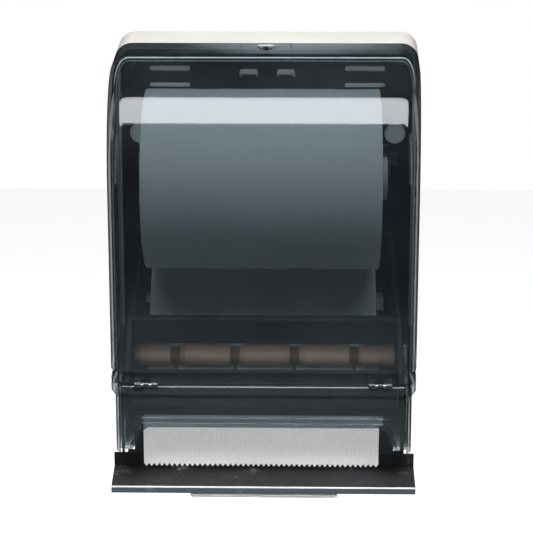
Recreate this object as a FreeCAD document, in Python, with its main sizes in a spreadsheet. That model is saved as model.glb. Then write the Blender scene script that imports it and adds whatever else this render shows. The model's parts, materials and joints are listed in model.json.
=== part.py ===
"""Push-bar roll towel dispenser.

Frame: X to the right, Y towards the wall, Z up, millimetres. The origin is the centre of the four wall
slots, on the wall plane. Heights in the sheet are measured from the lower edge of the push bar.
"""

import FreeCAD, Part

import math
import os
from types import SimpleNamespace

import Sketcher

# Values that start with = are formulas of the sheet; they read the sizes above them
SIZES = {
    # overall forms
    "origin_height": 215.0,
    "casing_width": 280.0,
    "side_draft": 2.8,
    "casing_depth": 72.0,
    "top_height": 368.0,
    "cover_depth": 229.0,
    "roof_flat": 129.0,
    "curve_radius": "=cover_depth - roof_flat",
    "edge_radius": 16.0,
    "bottom_height": -12.5,
    "shell_wall": 2.8,
    "back_wall": 3.0,
    "slip_gap": 0.3,
    "lip_wall": 1.8,
    "lip_reach": 5.0,
    "lip_root": 4.0,
    "lip_bite": 1.0,
    "tongue_width": 128.0,
    "tongue_set": 24.0,
    "tongue_depth": "=cover_depth - tongue_set",
    "tongue_wall": 3.0,
    "tongue_flare": 22.0,
    "tongue_waist": 24.0,
    # wall fixing
    "slot_spacing_x": 120.0,
    "slot_spacing_z": 170.0,
    "slot_length": 16.0,
    "slot_width": 5.5,
    # seam between cover and throat
    "seam_height": 96.5,
    "seam_gap": 1.2,
    "seam_bevel": 1.0,
    "rim_height": 1.5,
    "neck_height": 106.0,
    "shoulder_height": 107.8,
    "neck_depth": 3.3,
    "rim_wall": 5.8,
    "flange_low": 88.7,
    "flange_foot": 84.4,
    "hinge_depth": 1.0,
    "hinge_radius": 3.0,
    "hinge_pin_radius": 1.2,
    "hinge_fit": 0.05,
    "hinge_set": 41.4,
    "hinge_centre": "=casing_width / 2 - hinge_set",
    "hinge_width": 20.4,
    "hinge_lug": 5.4,
    "hinge_mid_lug": 4.6,
    "hinge_window": 5.0,
    "hinge_side_gap": 0.5,
    # throat
    "throat_low": 34.7,
    "throat_wall": 2.5,
    "throat_tail": 8.0,
    "arch_height": 58.4,
    "arch_set": 36.8,
    "arch_half": "=casing_width / 2 - arch_set",
    "arch_shoulder": 6.0,
    "arch_drop": 3.6,
    "leg_knee_run": 6.3,
    "leg_knee_half": "=arch_half + leg_knee_run",
    "leg_knee_height": 41.4,
    "leg_foot_run": 2.1,
    "leg_foot_half": "=leg_knee_half + leg_foot_run",
    "leg_foot_height": 38.7,
    "leg_step_run": 10.4,
    "leg_step_half": "=leg_foot_half + leg_step_run",
    "leg_wall": 2.4,
    "leg_depth": 21.0,
    "bead_radius": 1.8,
    "bead_rise": 1.2,
    "bead_low": 61.0,
    "bead_high": 65.8,
    "throat_rib": 1.6,
    "throat_rib_depth": 9.0,
    "throat_rib_inner": 59.4,
    "throat_rib_set": 1.1,
    "throat_rib_outer": "=hinge_centre - throat_rib_set",
    "throat_rib_gap": 1.0,
    "throat_rib_drop": 4.0,
    # blade
    "blade_thickness": 0.8,
    "blade_low": 58.8,
    "blade_high": 74.0,
    "blade_gap": 8.2,
    "blade_half": "=arch_half - blade_gap",
    "tooth_pitch": 4.4,
    "tooth_depth": 3.0,
    # inner frame
    "frame_front": 25.0,
    "frame_wall": 2.5,
    "frame_gap": 1.0,
    "frame_low": 22.0,
    "frame_high": 360.0,
    "frame_corner": 14.0,
    "frame_slot_x": 90.5,
    "frame_slot_length": 37.6,
    "frame_slot_high": 339.4,
    "frame_slot_low": 324.5,
    "frame_slot_width": 5.4,
    "frame_slot_width_low": 4.0,
    "tab_x": 17.3,
    "tab_width": 17.2,
    "tab_height": 336.4,
    "tab_drop": 4.6,
    "tab_sill": 2.8,
    "tab_rise": 2.8,
    "tab_foot": 2.2,
    "tab_corner": 3.2,
    "disc_set": 21.1,
    "disc_x": "=casing_width / 2 - disc_set",
    "disc_height": 279.6,
    "disc_radius": 9.8,
    "access_radius": 8.5,
    # mechanism cheeks
    "pivot_set": 22.0,
    "pivot_depth": "=cover_depth - pivot_set",
    "cheek_set": 25.0,
    "cheek_inner": "=casing_width / 2 - cheek_set",
    "cheek_wall": 3.0,
    "cheek_low": 45.0,
    "cheek_high": 185.0,
    "cheek_shelf": 45.0,
    "cheek_slope_depth": 120.0,
    "cheek_slope_height": 152.0,
    "cheek_rail_cover": 1.0,
    "cheek_nose": 8.0,
    "cheek_nose_rise": 10.0,
    "cheek_nose_drop": 7.0,
    "cheek_heel_set": 29.0,
    "cheek_heel_depth": "=pivot_depth - cheek_heel_set",
    "cheek_heel_height": 47.0,
    "rail_set": 32.0,
    "rail_depth": "=pivot_depth - rail_set",
    "rail_wall": 3.0,
    "rail_low": 118.0,
    "rail_high": 140.5,
    "rail_flange": 9.0,
    "chute_start": 14.0,
    "chute_end": 50.0,
    "chute_off": 2.8,
    "chute_wall": 2.2,
    "strip_start": 13.0,
    "strip_end": 48.0,
    "finger_tip": 3.5,
    "finger_tip_off": 2.0,
    "finger_end": 20.0,
    "finger_top_off": 6.5,
    "finger_back": 6.0,
    "finger_back_off": 5.4,
    "finger_width": 3.0,
    # drive
    "pivot_height": 84.0,
    "pivot_radius": 2.5,
    "running_fit": 0.05,
    "gear_module": 1.0,
    "gear_face": 2.8,
    "gear_gap": 0.4,
    "sector_teeth": 90.0,
    "pinion_teeth": 14.0,
    "wheel_teeth": 48.0,
    "idler_teeth": 16.0,
    "roller_teeth": 16.0,
    "pinion_bearing": -28.2,
    "idler_bearing": 73.5,
    "roller_bearing": 120.0,
    "backlash": 0.16,
    "stud_radius": 2.0,
    "stud_head": 0.6,
    "gear_hub_wall": 1.4,
    "clutch_wall": 1.2,
    "web_recess": 0.9,
    "web_inner": 8.0,
    "web_outer": 19.0,
    "web_hole_ring": 13.5,
    "web_hole_radius": 4.2,
    "shaft_radius": 4.0,
    "bush_wall": 1.6,
    "bush_rim": 0.8,
    "bush_rim_radius": 7.0,
    "shaft_end": 0.4,
    "shaft_tail": 2.0,
    "roller_radius": 10.0,
    "roller_core_radius": 7.0,
    "core_left_gap": 2.0,
    "core_right_gap": 0.4,
    "sleeve_length": 43.7,
    "sleeve_gap": 8.5,
    "sleeve_end_gap": 1.45,
    "sleeve_outer_length": "=cheek_inner - sleeve_end_gap - 1.5 * sleeve_length - 2 * sleeve_gap",
    "sleeve_cone": 5.0,
    "sleeve_tip": 0.6,
    "press_radius": 7.0,
    "press_core_radius": 4.5,
    "press_shaft_radius": 2.5,
    "press_short": 6.0,
    "press_shaft_end": 3.0,
    "press_core_gap": 1.0,
    "press_wheel_length": 26.0,
    "press_bearing": -60.0,
    "yoke_run": 85.0,
    "yoke_pivot_depth": "=pivot_depth - yoke_run",
    "yoke_pivot_height": 74.0,
    "yoke_wall": 2.5,
    "yoke_side_gap": 0.4,
    "yoke_boss": 4.5,
    "yoke_brow": 3.5,
    "yoke_top": 5.0,
    "yoke_foot": 6.0,
    "press_leaf_wall": 0.8,
    "press_leaf_x": 60.0,
    "press_leaf_width": 14.0,
    "press_leaf_low": 14.0,
    "press_leaf_high": 8.0,
    "press_leaf_bend": 6.0,
    "press_tip_high": 1.0,
    "press_tip_low": 4.0,
    # push bar
    "bar_side_gap": 10.0,
    "bar_length": "=casing_width - 2 * bar_side_gap",
    "bar_set": 1.0,
    "bar_depth": "=cover_depth - bar_set",
    "bar_reach": 28.0,
    "bar_back_depth": "=bar_depth - bar_reach",
    "bar_back_high": 26.0,
    "bar_back_low": 14.4,
    "bar_lip_height": 6.4,
    "bar_wall": 2.8,
    "bar_nose": 1.6,
    "bar_nose_radius": 1.92,
    "bar_slope_drop": 2.24,
    "bar_cap_low": 4.0,
    "bar_cap_drop": 1.5,
    "bar_rib": 2.0,
    "bar_rib_drop": 4.0,
    "bar_rib_front": 1.5,
    "bar_rib_rear": 6.0,
    "arm_width": 13.0,
    "arm_plate": 1.5,
    "arm_set_forward": 2.2,
    "arm_shoulder": 3.5,
    "arm_heel": 1.2,
    "arm_toe": 6.0,
    "arm_calf": 7.5,
    "foot_drop": 1.0,
    "foot_wall": 2.5,
    "foot_screw_radius": 2.0,
    "foot_screw_head": 1.2,
    "foot_screw_first": 2.8,
    "foot_screw_pitch": 4.6,
    "head_gap": 0.1,
    "spring_wire": 1.0,
    "spring_leg": 11.0,
    "soft_gap": 0.3,
    "bar_swing": 22.0,
    "arm_foot": 7.0,
    "pivot_head": 0.5,
    "pivot_head_rim": 1.4,
    # towel
    "roll_clear": 21.6,
    "roll_radius": "=(cover_depth - shell_wall - frame_front) / 2 - roll_clear",
    "roll_room": 38.4,
    "roll_width": "=casing_width - 2 * roll_room",
    "roll_offset": -2.3,
    "roll_back_gap": 20.0,
    "roll_depth": "=frame_front + roll_radius + roll_back_gap",
    "roll_height": 254.0,
    "core_radius": 21.5,
    "core_bore": 19.9,
    "hub_rise": 1.0,
    "hub_radius": 19.2,
    "hub_tip_radius": 16.0,
    "holder_set": 33.5,
    "holder_inner": "=casing_width / 2 - holder_set",
    "hub_length": 13.5,
    "hub_tip_x": "=holder_inner - hub_length",
    "holder_wall": 3.0,
    "holder_width": 22.0,
    "holder_pivot_run": 1.5,
    "holder_pivot_x": "=holder_inner + holder_pivot_run",
    "holder_pivot_depth": 34.0,
    "holder_pin_radius": 2.0,
    "barrel_radius": 5.0,
    "bracket_half": 6.0,
    "bracket_lug": 3.0,
    "bracket_wall": 2.0,
    "leaf_wall": 0.6,
    "leaf_tip_depth": 75.0,
    "leaf_foot": 8.0,
    "leaf_width": 12.0,
    "paper": 0.5,
    "paper_gap": 0.3,
    "outlet_gap": 3.0,
    "outlet_depth": "=bar_back_depth + outlet_gap",
    "paper_bend": 6.0,
    "paper_end": 14.9,
    # lock
    "lock_depth": 95.0,
    "lock_radius": 6.0,
    "lock_head_radius": 7.5,
    "lock_head_rise": 0.4,
    "lock_head_wall": 1.0,
    "keyway_half": 2.8,
    "keyway_width": 1.4,
    "keyway_depth": 3.4,
    "lock_block_half": 17.0,
    "lock_block_front": 12.0,
    "lock_block_rear": 8.0,
    "lock_block_height": 7.0,
    "lock_front_gap": 1.0,
    "lock_seat": 0.02,
    "cam_length": 21.0,
    "cam_wall": 2.2,
    "cam_width": 9.0,
    "keeper_half": 13.0,
    "keeper_gap": 0.4,
    "key_slot_x": 22.0,
    "key_slot_set_back": 8.0,
    "key_slot_width": 2.4,
    "key_slot_length": 6.0,
    "key_slot_drop": 8.0,
    # stub clips
    "clip_depth": 40.0,
    "clip_left_set": 30.4,
    "clip_left_x": "=clip_left_set - casing_width / 2",
    "clip_right_set": 35.3,
    "clip_right_x": "=casing_width / 2 - clip_right_set",
    "clip_low": 112.5,
    "clip_sill": 118.9,
    "clip_high": 126.2,
    "clip_half": 5.3,
    "clip_leg": 0.4,
    "clip_wall": 2.4,
    "clip_top": 3.0,
    "clip_gap": 1.0,
    # screws of the frame and cheeks
    "screw_radius": 2.6,
    "screw_head": 1.5,
    "cheek_screw_low": 60.0,
    "cheek_screw_mid": 110.0,
    "cheek_screw_high": 170.0,
    "frame_screw_set": 16.0,
    "frame_screw_x": "=casing_width / 2 - frame_screw_set",
    "frame_screw_low": 36.0,
    "frame_screw_high": 345.0,
}

doc = FreeCAD.newDocument("towel_dispenser")
sheet = doc.addObject("Spreadsheet::Sheet", "sizes")
for row, (alias, value) in enumerate(SIZES.items(), start=1):
    sheet.set(f"A{row}", alias)
    sheet.set(f"B{row}", str(value))
    sheet.setAlias(f"B{row}", alias)
doc.recompute()


class Size:
    """A number together with the expression that ties it to the sheet."""

    def __init__(self, value, text):
        self.value = float(value)
        self.text = text

    def __add__(self, other):
        other = as_size(other)
        return Size(self.value + other.value, f"({self.text} + {other.text})")

    def __sub__(self, other):
        other = as_size(other)
        return Size(self.value - other.value, f"({self.text} - {other.text})")

    def __mul__(self, other):
        other = as_size(other)
        return Size(self.value * other.value, f"({self.text} * {other.text})")

    def __truediv__(self, other):
        other = as_size(other)
        return Size(self.value / other.value, f"({self.text} / {other.text})")

    def __neg__(self):
        return Size(-self.value, f"(0 - {self.text})")

    def __radd__(self, other):
        return as_size(other) + self

    def __rsub__(self, other):
        return as_size(other) - self

    def __rmul__(self, other):
        return as_size(other) * self


def as_size(value):
    return value if isinstance(value, Size) else Size(value, f"({float(value)})")


def sine(angle):
    return Size(math.sin(math.radians(angle.value)), f"sin({angle.text} * 1 deg)")


def cosine(angle):
    return Size(math.cos(math.radians(angle.value)), f"cos({angle.text} * 1 deg)")


def tangent(angle):
    return Size(math.tan(math.radians(angle.value)), f"tan({angle.text} * 1 deg)")


def bind(thing, prop, value):
    thing.setExpression(prop, as_size(value).text)


s = SimpleNamespace(**{name: Size(sheet.get(name), f"sizes.{name}") for name in SIZES})


def up(height):
    """Height above the push bar's lower edge, as a Z in the part's frame."""
    return height - s.origin_height


TAN = tangent(s.side_draft)
COS = cosine(s.side_draft)
SIN = sine(s.side_draft)
nodes = {}


def node(name, feature):
    feature.Label = name
    nodes[name] = feature
    return feature


# Drawing helpers

PLANE_ROLES = {"XY": "XY_Plane", "XZ": "XZ_Plane", "YZ": "YZ_Plane"}


def draw_circle(sketch, u, v, radius):
    u, v, radius = as_size(u), as_size(v), as_size(radius)
    centre = FreeCAD.Vector(u.value, v.value, 0)
    line = sketch.addGeometry(Part.Circle(centre, FreeCAD.Vector(0, 0, 1), radius.value))
    for kind, value in (("DistanceX", u), ("DistanceY", v)):
        mark = sketch.addConstraint(Sketcher.Constraint(kind, -1, 1, line, 3, value.value))
        bind(sketch, f"Constraints[{mark}]", value)
    mark = sketch.addConstraint(Sketcher.Constraint("Radius", line, radius.value))
    bind(sketch, f"Constraints[{mark}]", radius)


def arc_between(start, end, radius):
    """Arc from start to end; a positive radius turns left, a negative one turns right."""
    chord = end - start
    half = chord.Length / 2
    rise = math.sqrt(max(radius * radius - half * half, 0.0))
    left = FreeCAD.Vector(-chord.y, chord.x, 0).normalize()
    centre = start + chord / 2 + left * math.copysign(rise, radius)
    circle = Part.Circle(centre, FreeCAD.Vector(0, 0, 1), abs(radius))
    first, last = (start, end) if radius > 0 else (end, start)
    return Part.ArcOfCircle(circle, circle.parameter(first), circle.parameter(last))


def draw_outline(sketch, outline):
    """Closed outline; each corner is (u, v), or (u, v, radius) where an arc leaves it."""
    corners = [[as_size(x) for x in corner] for corner in outline]
    points = [FreeCAD.Vector(c[0].value, c[1].value, 0) for c in corners]
    ends = []
    for place, corner in enumerate(corners):
        start, end = points[place], points[(place + 1) % len(points)]
        if len(corner) == 3:
            line = sketch.addGeometry(arc_between(start, end, corner[2].value))
            ends.append((line, 1, 2) if corner[2].value > 0 else (line, 2, 1))
        else:
            line = sketch.addGeometry(Part.LineSegment(start, end))
            ends.append((line, 1, 2))
    for place, corner in enumerate(corners):
        line, first, last = ends[place]
        follower = ends[(place + 1) % len(ends)]
        sketch.addConstraint(Sketcher.Constraint("Coincident", line, last, follower[0], follower[1]))
        for kind, value in (("DistanceX", corner[0]), ("DistanceY", corner[1])):
            mark = sketch.addConstraint(Sketcher.Constraint(kind, -1, 1, line, first, value.value))
            bind(sketch, f"Constraints[{mark}]", value)
        if len(corner) == 2:
            continue
        chord = (points[(place + 1) % len(points)] - points[place]).Length
        if abs(chord - 2 * abs(corner[2].value)) < 1e-6:
            sketch.addConstraint(Sketcher.Constraint("Symmetric", line, 1, line, 2, line, 3))
            continue
        mark = sketch.addConstraint(Sketcher.Constraint("Radius", line, abs(corner[2].value)))
        radius = corner[2] if corner[2].value > 0 else -corner[2]
        bind(sketch, f"Constraints[{mark}]", radius)


def add_sketch(body, plane, start, outlines, circles=()):
    """Sketch parallel to an origin plane. start is the Y, X or Z of the sketch."""
    sketch = body.newObject("Sketcher::SketchObject", body.Name + "_sketch")
    role = PLANE_ROLES[plane]
    support = next(item for item in body.Origin.OriginFeatures if item.Role == role)
    sketch.AttachmentSupport = [(support, "")]
    sketch.MapMode = "FlatFace"
    start = as_size(start)
    bind(sketch, "AttachmentOffset.Base.z", -start if plane == "XZ" else start)
    for outline in outlines:
        draw_outline(sketch, outline)
    for u, v, radius in circles:
        draw_circle(sketch, u, v, radius)
    return sketch


def add_pad(body, sketch, length, both_ways=False):
    """Pads along +X, +Z or -Y, by the sketch's plane."""
    pad = body.newObject("PartDesign::Pad", body.Name + "_pad")
    pad.Profile = sketch
    pad.Type = "Length"
    if both_ways:
        pad.SideType = "Symmetric"
    bind(pad, "Length", length)
    body.Tip = pad
    return pad


def add_pocket(body, sketch, length=None, backwards=True):
    """Pocket; with no length it goes through all, both ways."""
    doc.recompute()
    before = body.Shape.Volume
    pocket = body.newObject("PartDesign::Pocket", body.Name + "_pocket")
    pocket.Profile = sketch
    if length is None:
        pocket.Type = "ThroughAll"
        pocket.SideType = "Symmetric"
    else:
        pocket.Type = "Length"
        pocket.Reversed = backwards
        bind(pocket, "Length", length)
    body.Tip = pocket
    doc.recompute()
    if not body.Shape.Volume < before:
        raise RuntimeError(f"{body.Label}: a pocket cut nothing")
    return pocket


def add_fillet(body, radius, wanted):
    """Rounds the edges of the body whose middle the test picks."""
    doc.recompute()
    tip = body.Tip
    names = []
    for index, edge in enumerate(tip.Shape.Edges, start=1):
        if wanted(edge):
            names.append(f"Edge{index}")
    if not names:
        raise RuntimeError(f"{body.Label}: no edge to round")
    fillet = body.newObject("PartDesign::Fillet", body.Name + "_fillet")
    fillet.Base = (tip, names)
    bind(fillet, "Radius", radius)
    body.Tip = fillet
    return fillet


def new_body(name):
    body = doc.addObject("PartDesign::Body", name)
    body.Label = name
    return body


def plate(name, plane, start, length, outlines, circles=(), both_ways=False):
    """One padded sketch; inner outlines and circles are holes."""
    body = new_body(name)
    sketch = add_sketch(body, plane, start, outlines, circles)
    add_pad(body, sketch, length, both_ways)
    return body


def box_outline(low_u, low_v, high_u, high_v):
    return [(low_u, low_v), (high_u, low_v), (high_u, high_v), (low_u, high_v)]


def put(feature, x, y, z, turn=None):
    if turn is not None:
        feature.Placement = FreeCAD.Placement(FreeCAD.Vector(0, 0, 0), turn)
    for letter, value in (("x", x), ("y", y), ("z", z)):
        bind(feature, f"Placement.Base.{letter}", value)
    return feature


def block(name, low, high):
    """Box between two corners."""
    box = doc.addObject("Part::Box", name)
    for prop, low_value, high_value in zip(("Length", "Width", "Height"), low, high):
        bind(box, prop, as_size(high_value) - low_value)
    return put(box, *low)


ALONG_X = FreeCAD.Rotation(FreeCAD.Vector(0, 1, 0), 90)
ALONG_Z = FreeCAD.Rotation()
ALONG_FRONT = FreeCAD.Rotation(FreeCAD.Vector(1, 0, 0), 90)


def rod(name, place, radius, length, turn=ALONG_X):
    """Cylinder from place, along +X, +Z or -Y."""
    cylinder = doc.addObject("Part::Cylinder", name)
    bind(cylinder, "Radius", radius)
    bind(cylinder, "Height", length)
    return put(cylinder, *place, turn)


def cone(name, place, first_radius, last_radius, length, turn=ALONG_X):
    shape = doc.addObject("Part::Cone", name)
    bind(shape, "Radius1", first_radius)
    bind(shape, "Radius2", last_radius)
    bind(shape, "Height", length)
    return put(shape, *place, turn)


def fuse(name, *pieces):
    if len(pieces) == 1:
        return pieces[0]
    union = doc.addObject("Part::MultiFuse", name)
    union.Shapes = list(pieces)
    union.Refine = True
    return union


def cut(name, base, *tools):
    result = doc.addObject("Part::Cut", name)
    result.Base = base
    result.Tool = fuse(name + "_tools", *tools)
    return result


def common(name, first, second):
    result = doc.addObject("Part::MultiCommon", name)
    result.Shapes = [first, second]
    return result


def solid(name, shape):
    """Sub-part whose shape is worked out in code from the sheet's values."""
    feature = doc.addObject("Part::Feature", name)
    feature.Shape = shape
    return feature


# The outer form: a block tapering from the wall to the front, curved over at the top front edge

OVER = 1.0  # how far a cutting shape passes the face that it cuts
BITE = 0.5  # how far a rib or web sinks into what carries it
ROOM = 20.0  # room round a part that a wide cutting shape covers
NEAR = 0.1  # how near an edge's middle lies to the face that it is picked by
FAR = 400.0  # beyond every part


def half_width(y, inset):
    """Half the outer width at depth y (negative towards the front), moved in by inset."""
    return s.casing_width / 2 + y * TAN - inset / COS


def top_z(y, inset):
    return up(s.top_height) + (y + s.casing_depth) * TAN - as_size(inset) / COS


def outer_form(name, inset, rear):
    inset, rear = as_size(inset), as_size(rear)
    front = inset - s.cover_depth
    radius = s.curve_radius - inset
    centre_y = s.curve_radius - s.cover_depth
    centre_z = top_z(centre_y, inset) - radius / COS
    low = up(s.bottom_height) + inset
    profile = [
        (rear, low),
        (rear, top_z(rear, inset)),
        (centre_y - radius * SIN, centre_z + radius * COS, radius),
        (front, centre_z),
        (front, low),
    ]
    body = new_body(name)
    sketch = add_sketch(body, "YZ", 0, [profile])
    add_pad(body, sketch, 2 * half_width(as_size(0), inset), both_ways=True)
    behind, beyond = as_size(OVER), front - OVER
    wedges = []
    for side in (1, -1):
        wedges.append([
            (half_width(behind, inset) * side, behind),
            ((half_width(as_size(0), inset) + ROOM) * side, behind),
            ((half_width(as_size(0), inset) + ROOM) * side, beyond),
            (half_width(beyond, inset) * side, beyond),
        ])
    add_pocket(body, add_sketch(body, "XY", 0, wedges))

    def on_side_edge(edge):
        middle = edge.CenterOfMass
        limit = half_width(as_size(middle.y), inset).value - OVER
        return abs(middle.x) > limit and middle.z > low.value + BITE and middle.y < rear.value - BITE

    add_fillet(body, s.edge_radius - inset, on_side_edge)
    return body


def footprint(inset, rear):
    """Horizontal outline of the outer form, moved in by inset and open to the given rear line."""
    inset = as_size(inset)
    radius = s.edge_radius - inset
    front = inset - s.cover_depth
    corner_y = front + radius
    corner_x = half_width(corner_y, inset) - radius / COS
    side_x = corner_x + radius * COS
    side_y = corner_y - radius * SIN
    return [
        (half_width(rear, inset), rear),
        (-half_width(rear, inset), rear),
        (-side_x, side_y, radius),
        (-corner_x, front),
        (corner_x, front, radius),
        (side_x, side_y),
    ]


def add_loft(body, low_sketch, high_sketch):
    loft = body.newObject("PartDesign::AdditiveLoft", body.Name + "_loft")
    loft.Profile = low_sketch
    loft.Sections = [high_sketch]
    loft.Ruled = True
    body.Tip = loft
    return loft


def stacked_body(name, levels, rear, foot_rear=None):
    """Solid through horizontal outlines at (height, inset) levels, from the bottom up."""
    body = new_body(name)
    for place, ((low, low_inset), (high, high_inset)) in enumerate(zip(levels, levels[1:])):
        first_rear = foot_rear if foot_rear is not None and place == 0 else rear
        low_sketch = add_sketch(body, "XY", up(low), [footprint(low_inset, first_rear)])
        if as_size(low_inset).text == as_size(high_inset).text:
            add_pad(body, low_sketch, high - low)
        else:
            add_loft(body, low_sketch, add_sketch(body, "XY", up(high), [footprint(high_inset, rear)]))
        doc.recompute()
    return body


CASING_FRONT = -s.casing_depth
THROAT_REAR = CASING_FRONT + s.throat_tail
THROAT_FRONT = s.neck_depth - s.cover_depth
THROAT_INSIDE = THROAT_FRONT + s.throat_wall
COVER_LOW = s.seam_height + s.seam_gap / 2
THROAT_HIGH = s.seam_height - s.seam_gap / 2
HINGE = (s.hinge_depth - s.cover_depth, up(s.seam_height))


def slot_outline(x, z, length, width):
    reach = (length - width) / 2
    radius = width / 2
    return [
        (x - reach, z - radius),
        (x + reach, z - radius, radius),
        (x + reach, z + radius),
        (x - reach, z + radius, radius),
    ]


def make_casing():
    """The rear casing with its wall slots, its lip and the tongue under the push bar; returns the shell."""
    outside = outer_form("casing_outside", 0, 0)
    inside = outer_form("casing_inside", s.shell_wall, -s.back_wall)
    shell = cut("whole_shell", outside, inside)
    reach = block("casing_reach", (-FAR, CASING_FRONT, -FAR), (FAR, 0, FAR))
    tray = common("casing_tray", shell, reach)
    # the lip that closes the joint with the cover
    lip_out = s.shell_wall + s.slip_gap
    core = outer_form("lip_core", lip_out + s.lip_wall, 0)
    tip_skin = cut("lip_tip_skin", outer_form("lip_skin", lip_out, 0), core)
    root_skin = cut("lip_root_skin", outer_form("lip_root", s.shell_wall - s.lip_bite, 0), core)
    above = up(s.shoulder_height)
    tip_zone = block("lip_tip_zone", (-FAR, CASING_FRONT - s.lip_reach, above), (FAR, CASING_FRONT, FAR))
    root_zone = block("lip_root_zone", (-FAR, CASING_FRONT, above), (FAR, CASING_FRONT + s.lip_root, FAR))
    tip = common("lip_tip", tip_skin, tip_zone)
    root = common("lip_root_ring", root_skin, root_zone)
    # the tongue, with its corners cut at 45 degrees
    half = s.tongue_width / 2
    front = -s.tongue_depth
    corner = s.tongue_wall
    flare = half + s.tongue_flare
    waist = CASING_FRONT - s.tongue_waist
    tongue = plate("tongue", "XY", up(s.bottom_height), s.tongue_wall, [[
        (-flare, CASING_FRONT + OVER), (-half, waist), (-half, front + corner), (-half + corner, front),
        (half - corner, front), (half, front + corner), (half, waist), (flare, CASING_FRONT + OVER),
    ]])
    slots = []
    for column in (-1, 1):
        for line in (-1, 1):
            slots.append(slot_outline(column * s.slot_spacing_x / 2, line * s.slot_spacing_z / 2,
                                      s.slot_length, s.slot_width))
    holes = plate("wall_slots", "XZ", OVER, s.back_wall + 2 * OVER, slots)
    casing = fuse("casing_solid", tray, root, tip, tongue)
    node("rear_casing", cut("rear_casing", casing, holes))
    return shell


def hinge_spans():
    """Low and high X of each hinge window."""
    for side in (-1, 1):
        centre = side * s.hinge_centre
        yield centre, centre - s.hinge_width / 2, centre + s.hinge_width / 2


def make_cover(shell):
    reach = block("cover_reach", (-FAR, -FAR, up(s.shoulder_height)), (FAR, CASING_FRONT, FAR))
    upper = common("cover_upper", shell, reach)
    skirt = stacked_body("cover_skirt", [
        (COVER_LOW, s.seam_bevel),
        (COVER_LOW + s.seam_bevel, 0),
        (COVER_LOW + s.seam_bevel + s.rim_height, 0),
        (s.neck_height, s.neck_depth),
        (s.shoulder_height, 0),
    ], CASING_FRONT)
    add_pocket(skirt, add_sketch(skirt, "XY", up(s.seam_height), [footprint(s.rim_wall, CASING_FRONT + ROOM)]))
    y, z = HINGE
    windows, lugs, holes = [], [], []
    for centre, low_x, high_x in hinge_spans():
        windows.append(block("cover_hinge_window", (low_x, -FAR, z - OVER),
                             (high_x, y + s.hinge_radius + OVER, z + s.hinge_window)))
        for end in (-1, 1):
            inner = centre + (s.hinge_width / 2 - s.hinge_side_gap) * end
            outer = inner - s.hinge_lug * end
            lug_low, lug_high = (outer, inner) if end > 0 else (inner, outer)
            lugs.append(rod("cover_knuckle", (lug_low, y, z), s.hinge_radius, s.hinge_lug))
            lugs.append(block("cover_knuckle_web", (lug_low, -s.cover_depth, z),
                              (lug_high, y + s.hinge_radius, z + s.hinge_window + BITE)))
        holes.append(rod("cover_hinge_bore", (low_x, y, z), s.hinge_pin_radius + s.hinge_fit, s.hinge_width))
    body = cut("cover_cut", fuse("cover_shell", upper, skirt), *windows)
    roof = up(s.top_height)
    holes.append(rod("lock_hole", (0, -s.lock_depth, roof - s.key_slot_drop), s.lock_radius + s.running_fit,
                     ROOM, ALONG_Z))
    half, slot_front = s.key_slot_width / 2, s.key_slot_set_back - s.lock_depth
    for side in (-1, 1):
        centre = side * s.key_slot_x
        holes.append(block("key_slot", (centre - half, slot_front, roof - s.key_slot_drop),
                           (centre + half, slot_front + s.key_slot_length, roof + s.key_slot_drop)))
    node("front_cover", cut("front_cover", fuse("cover_with_lugs", body, *lugs), *holes))


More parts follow.
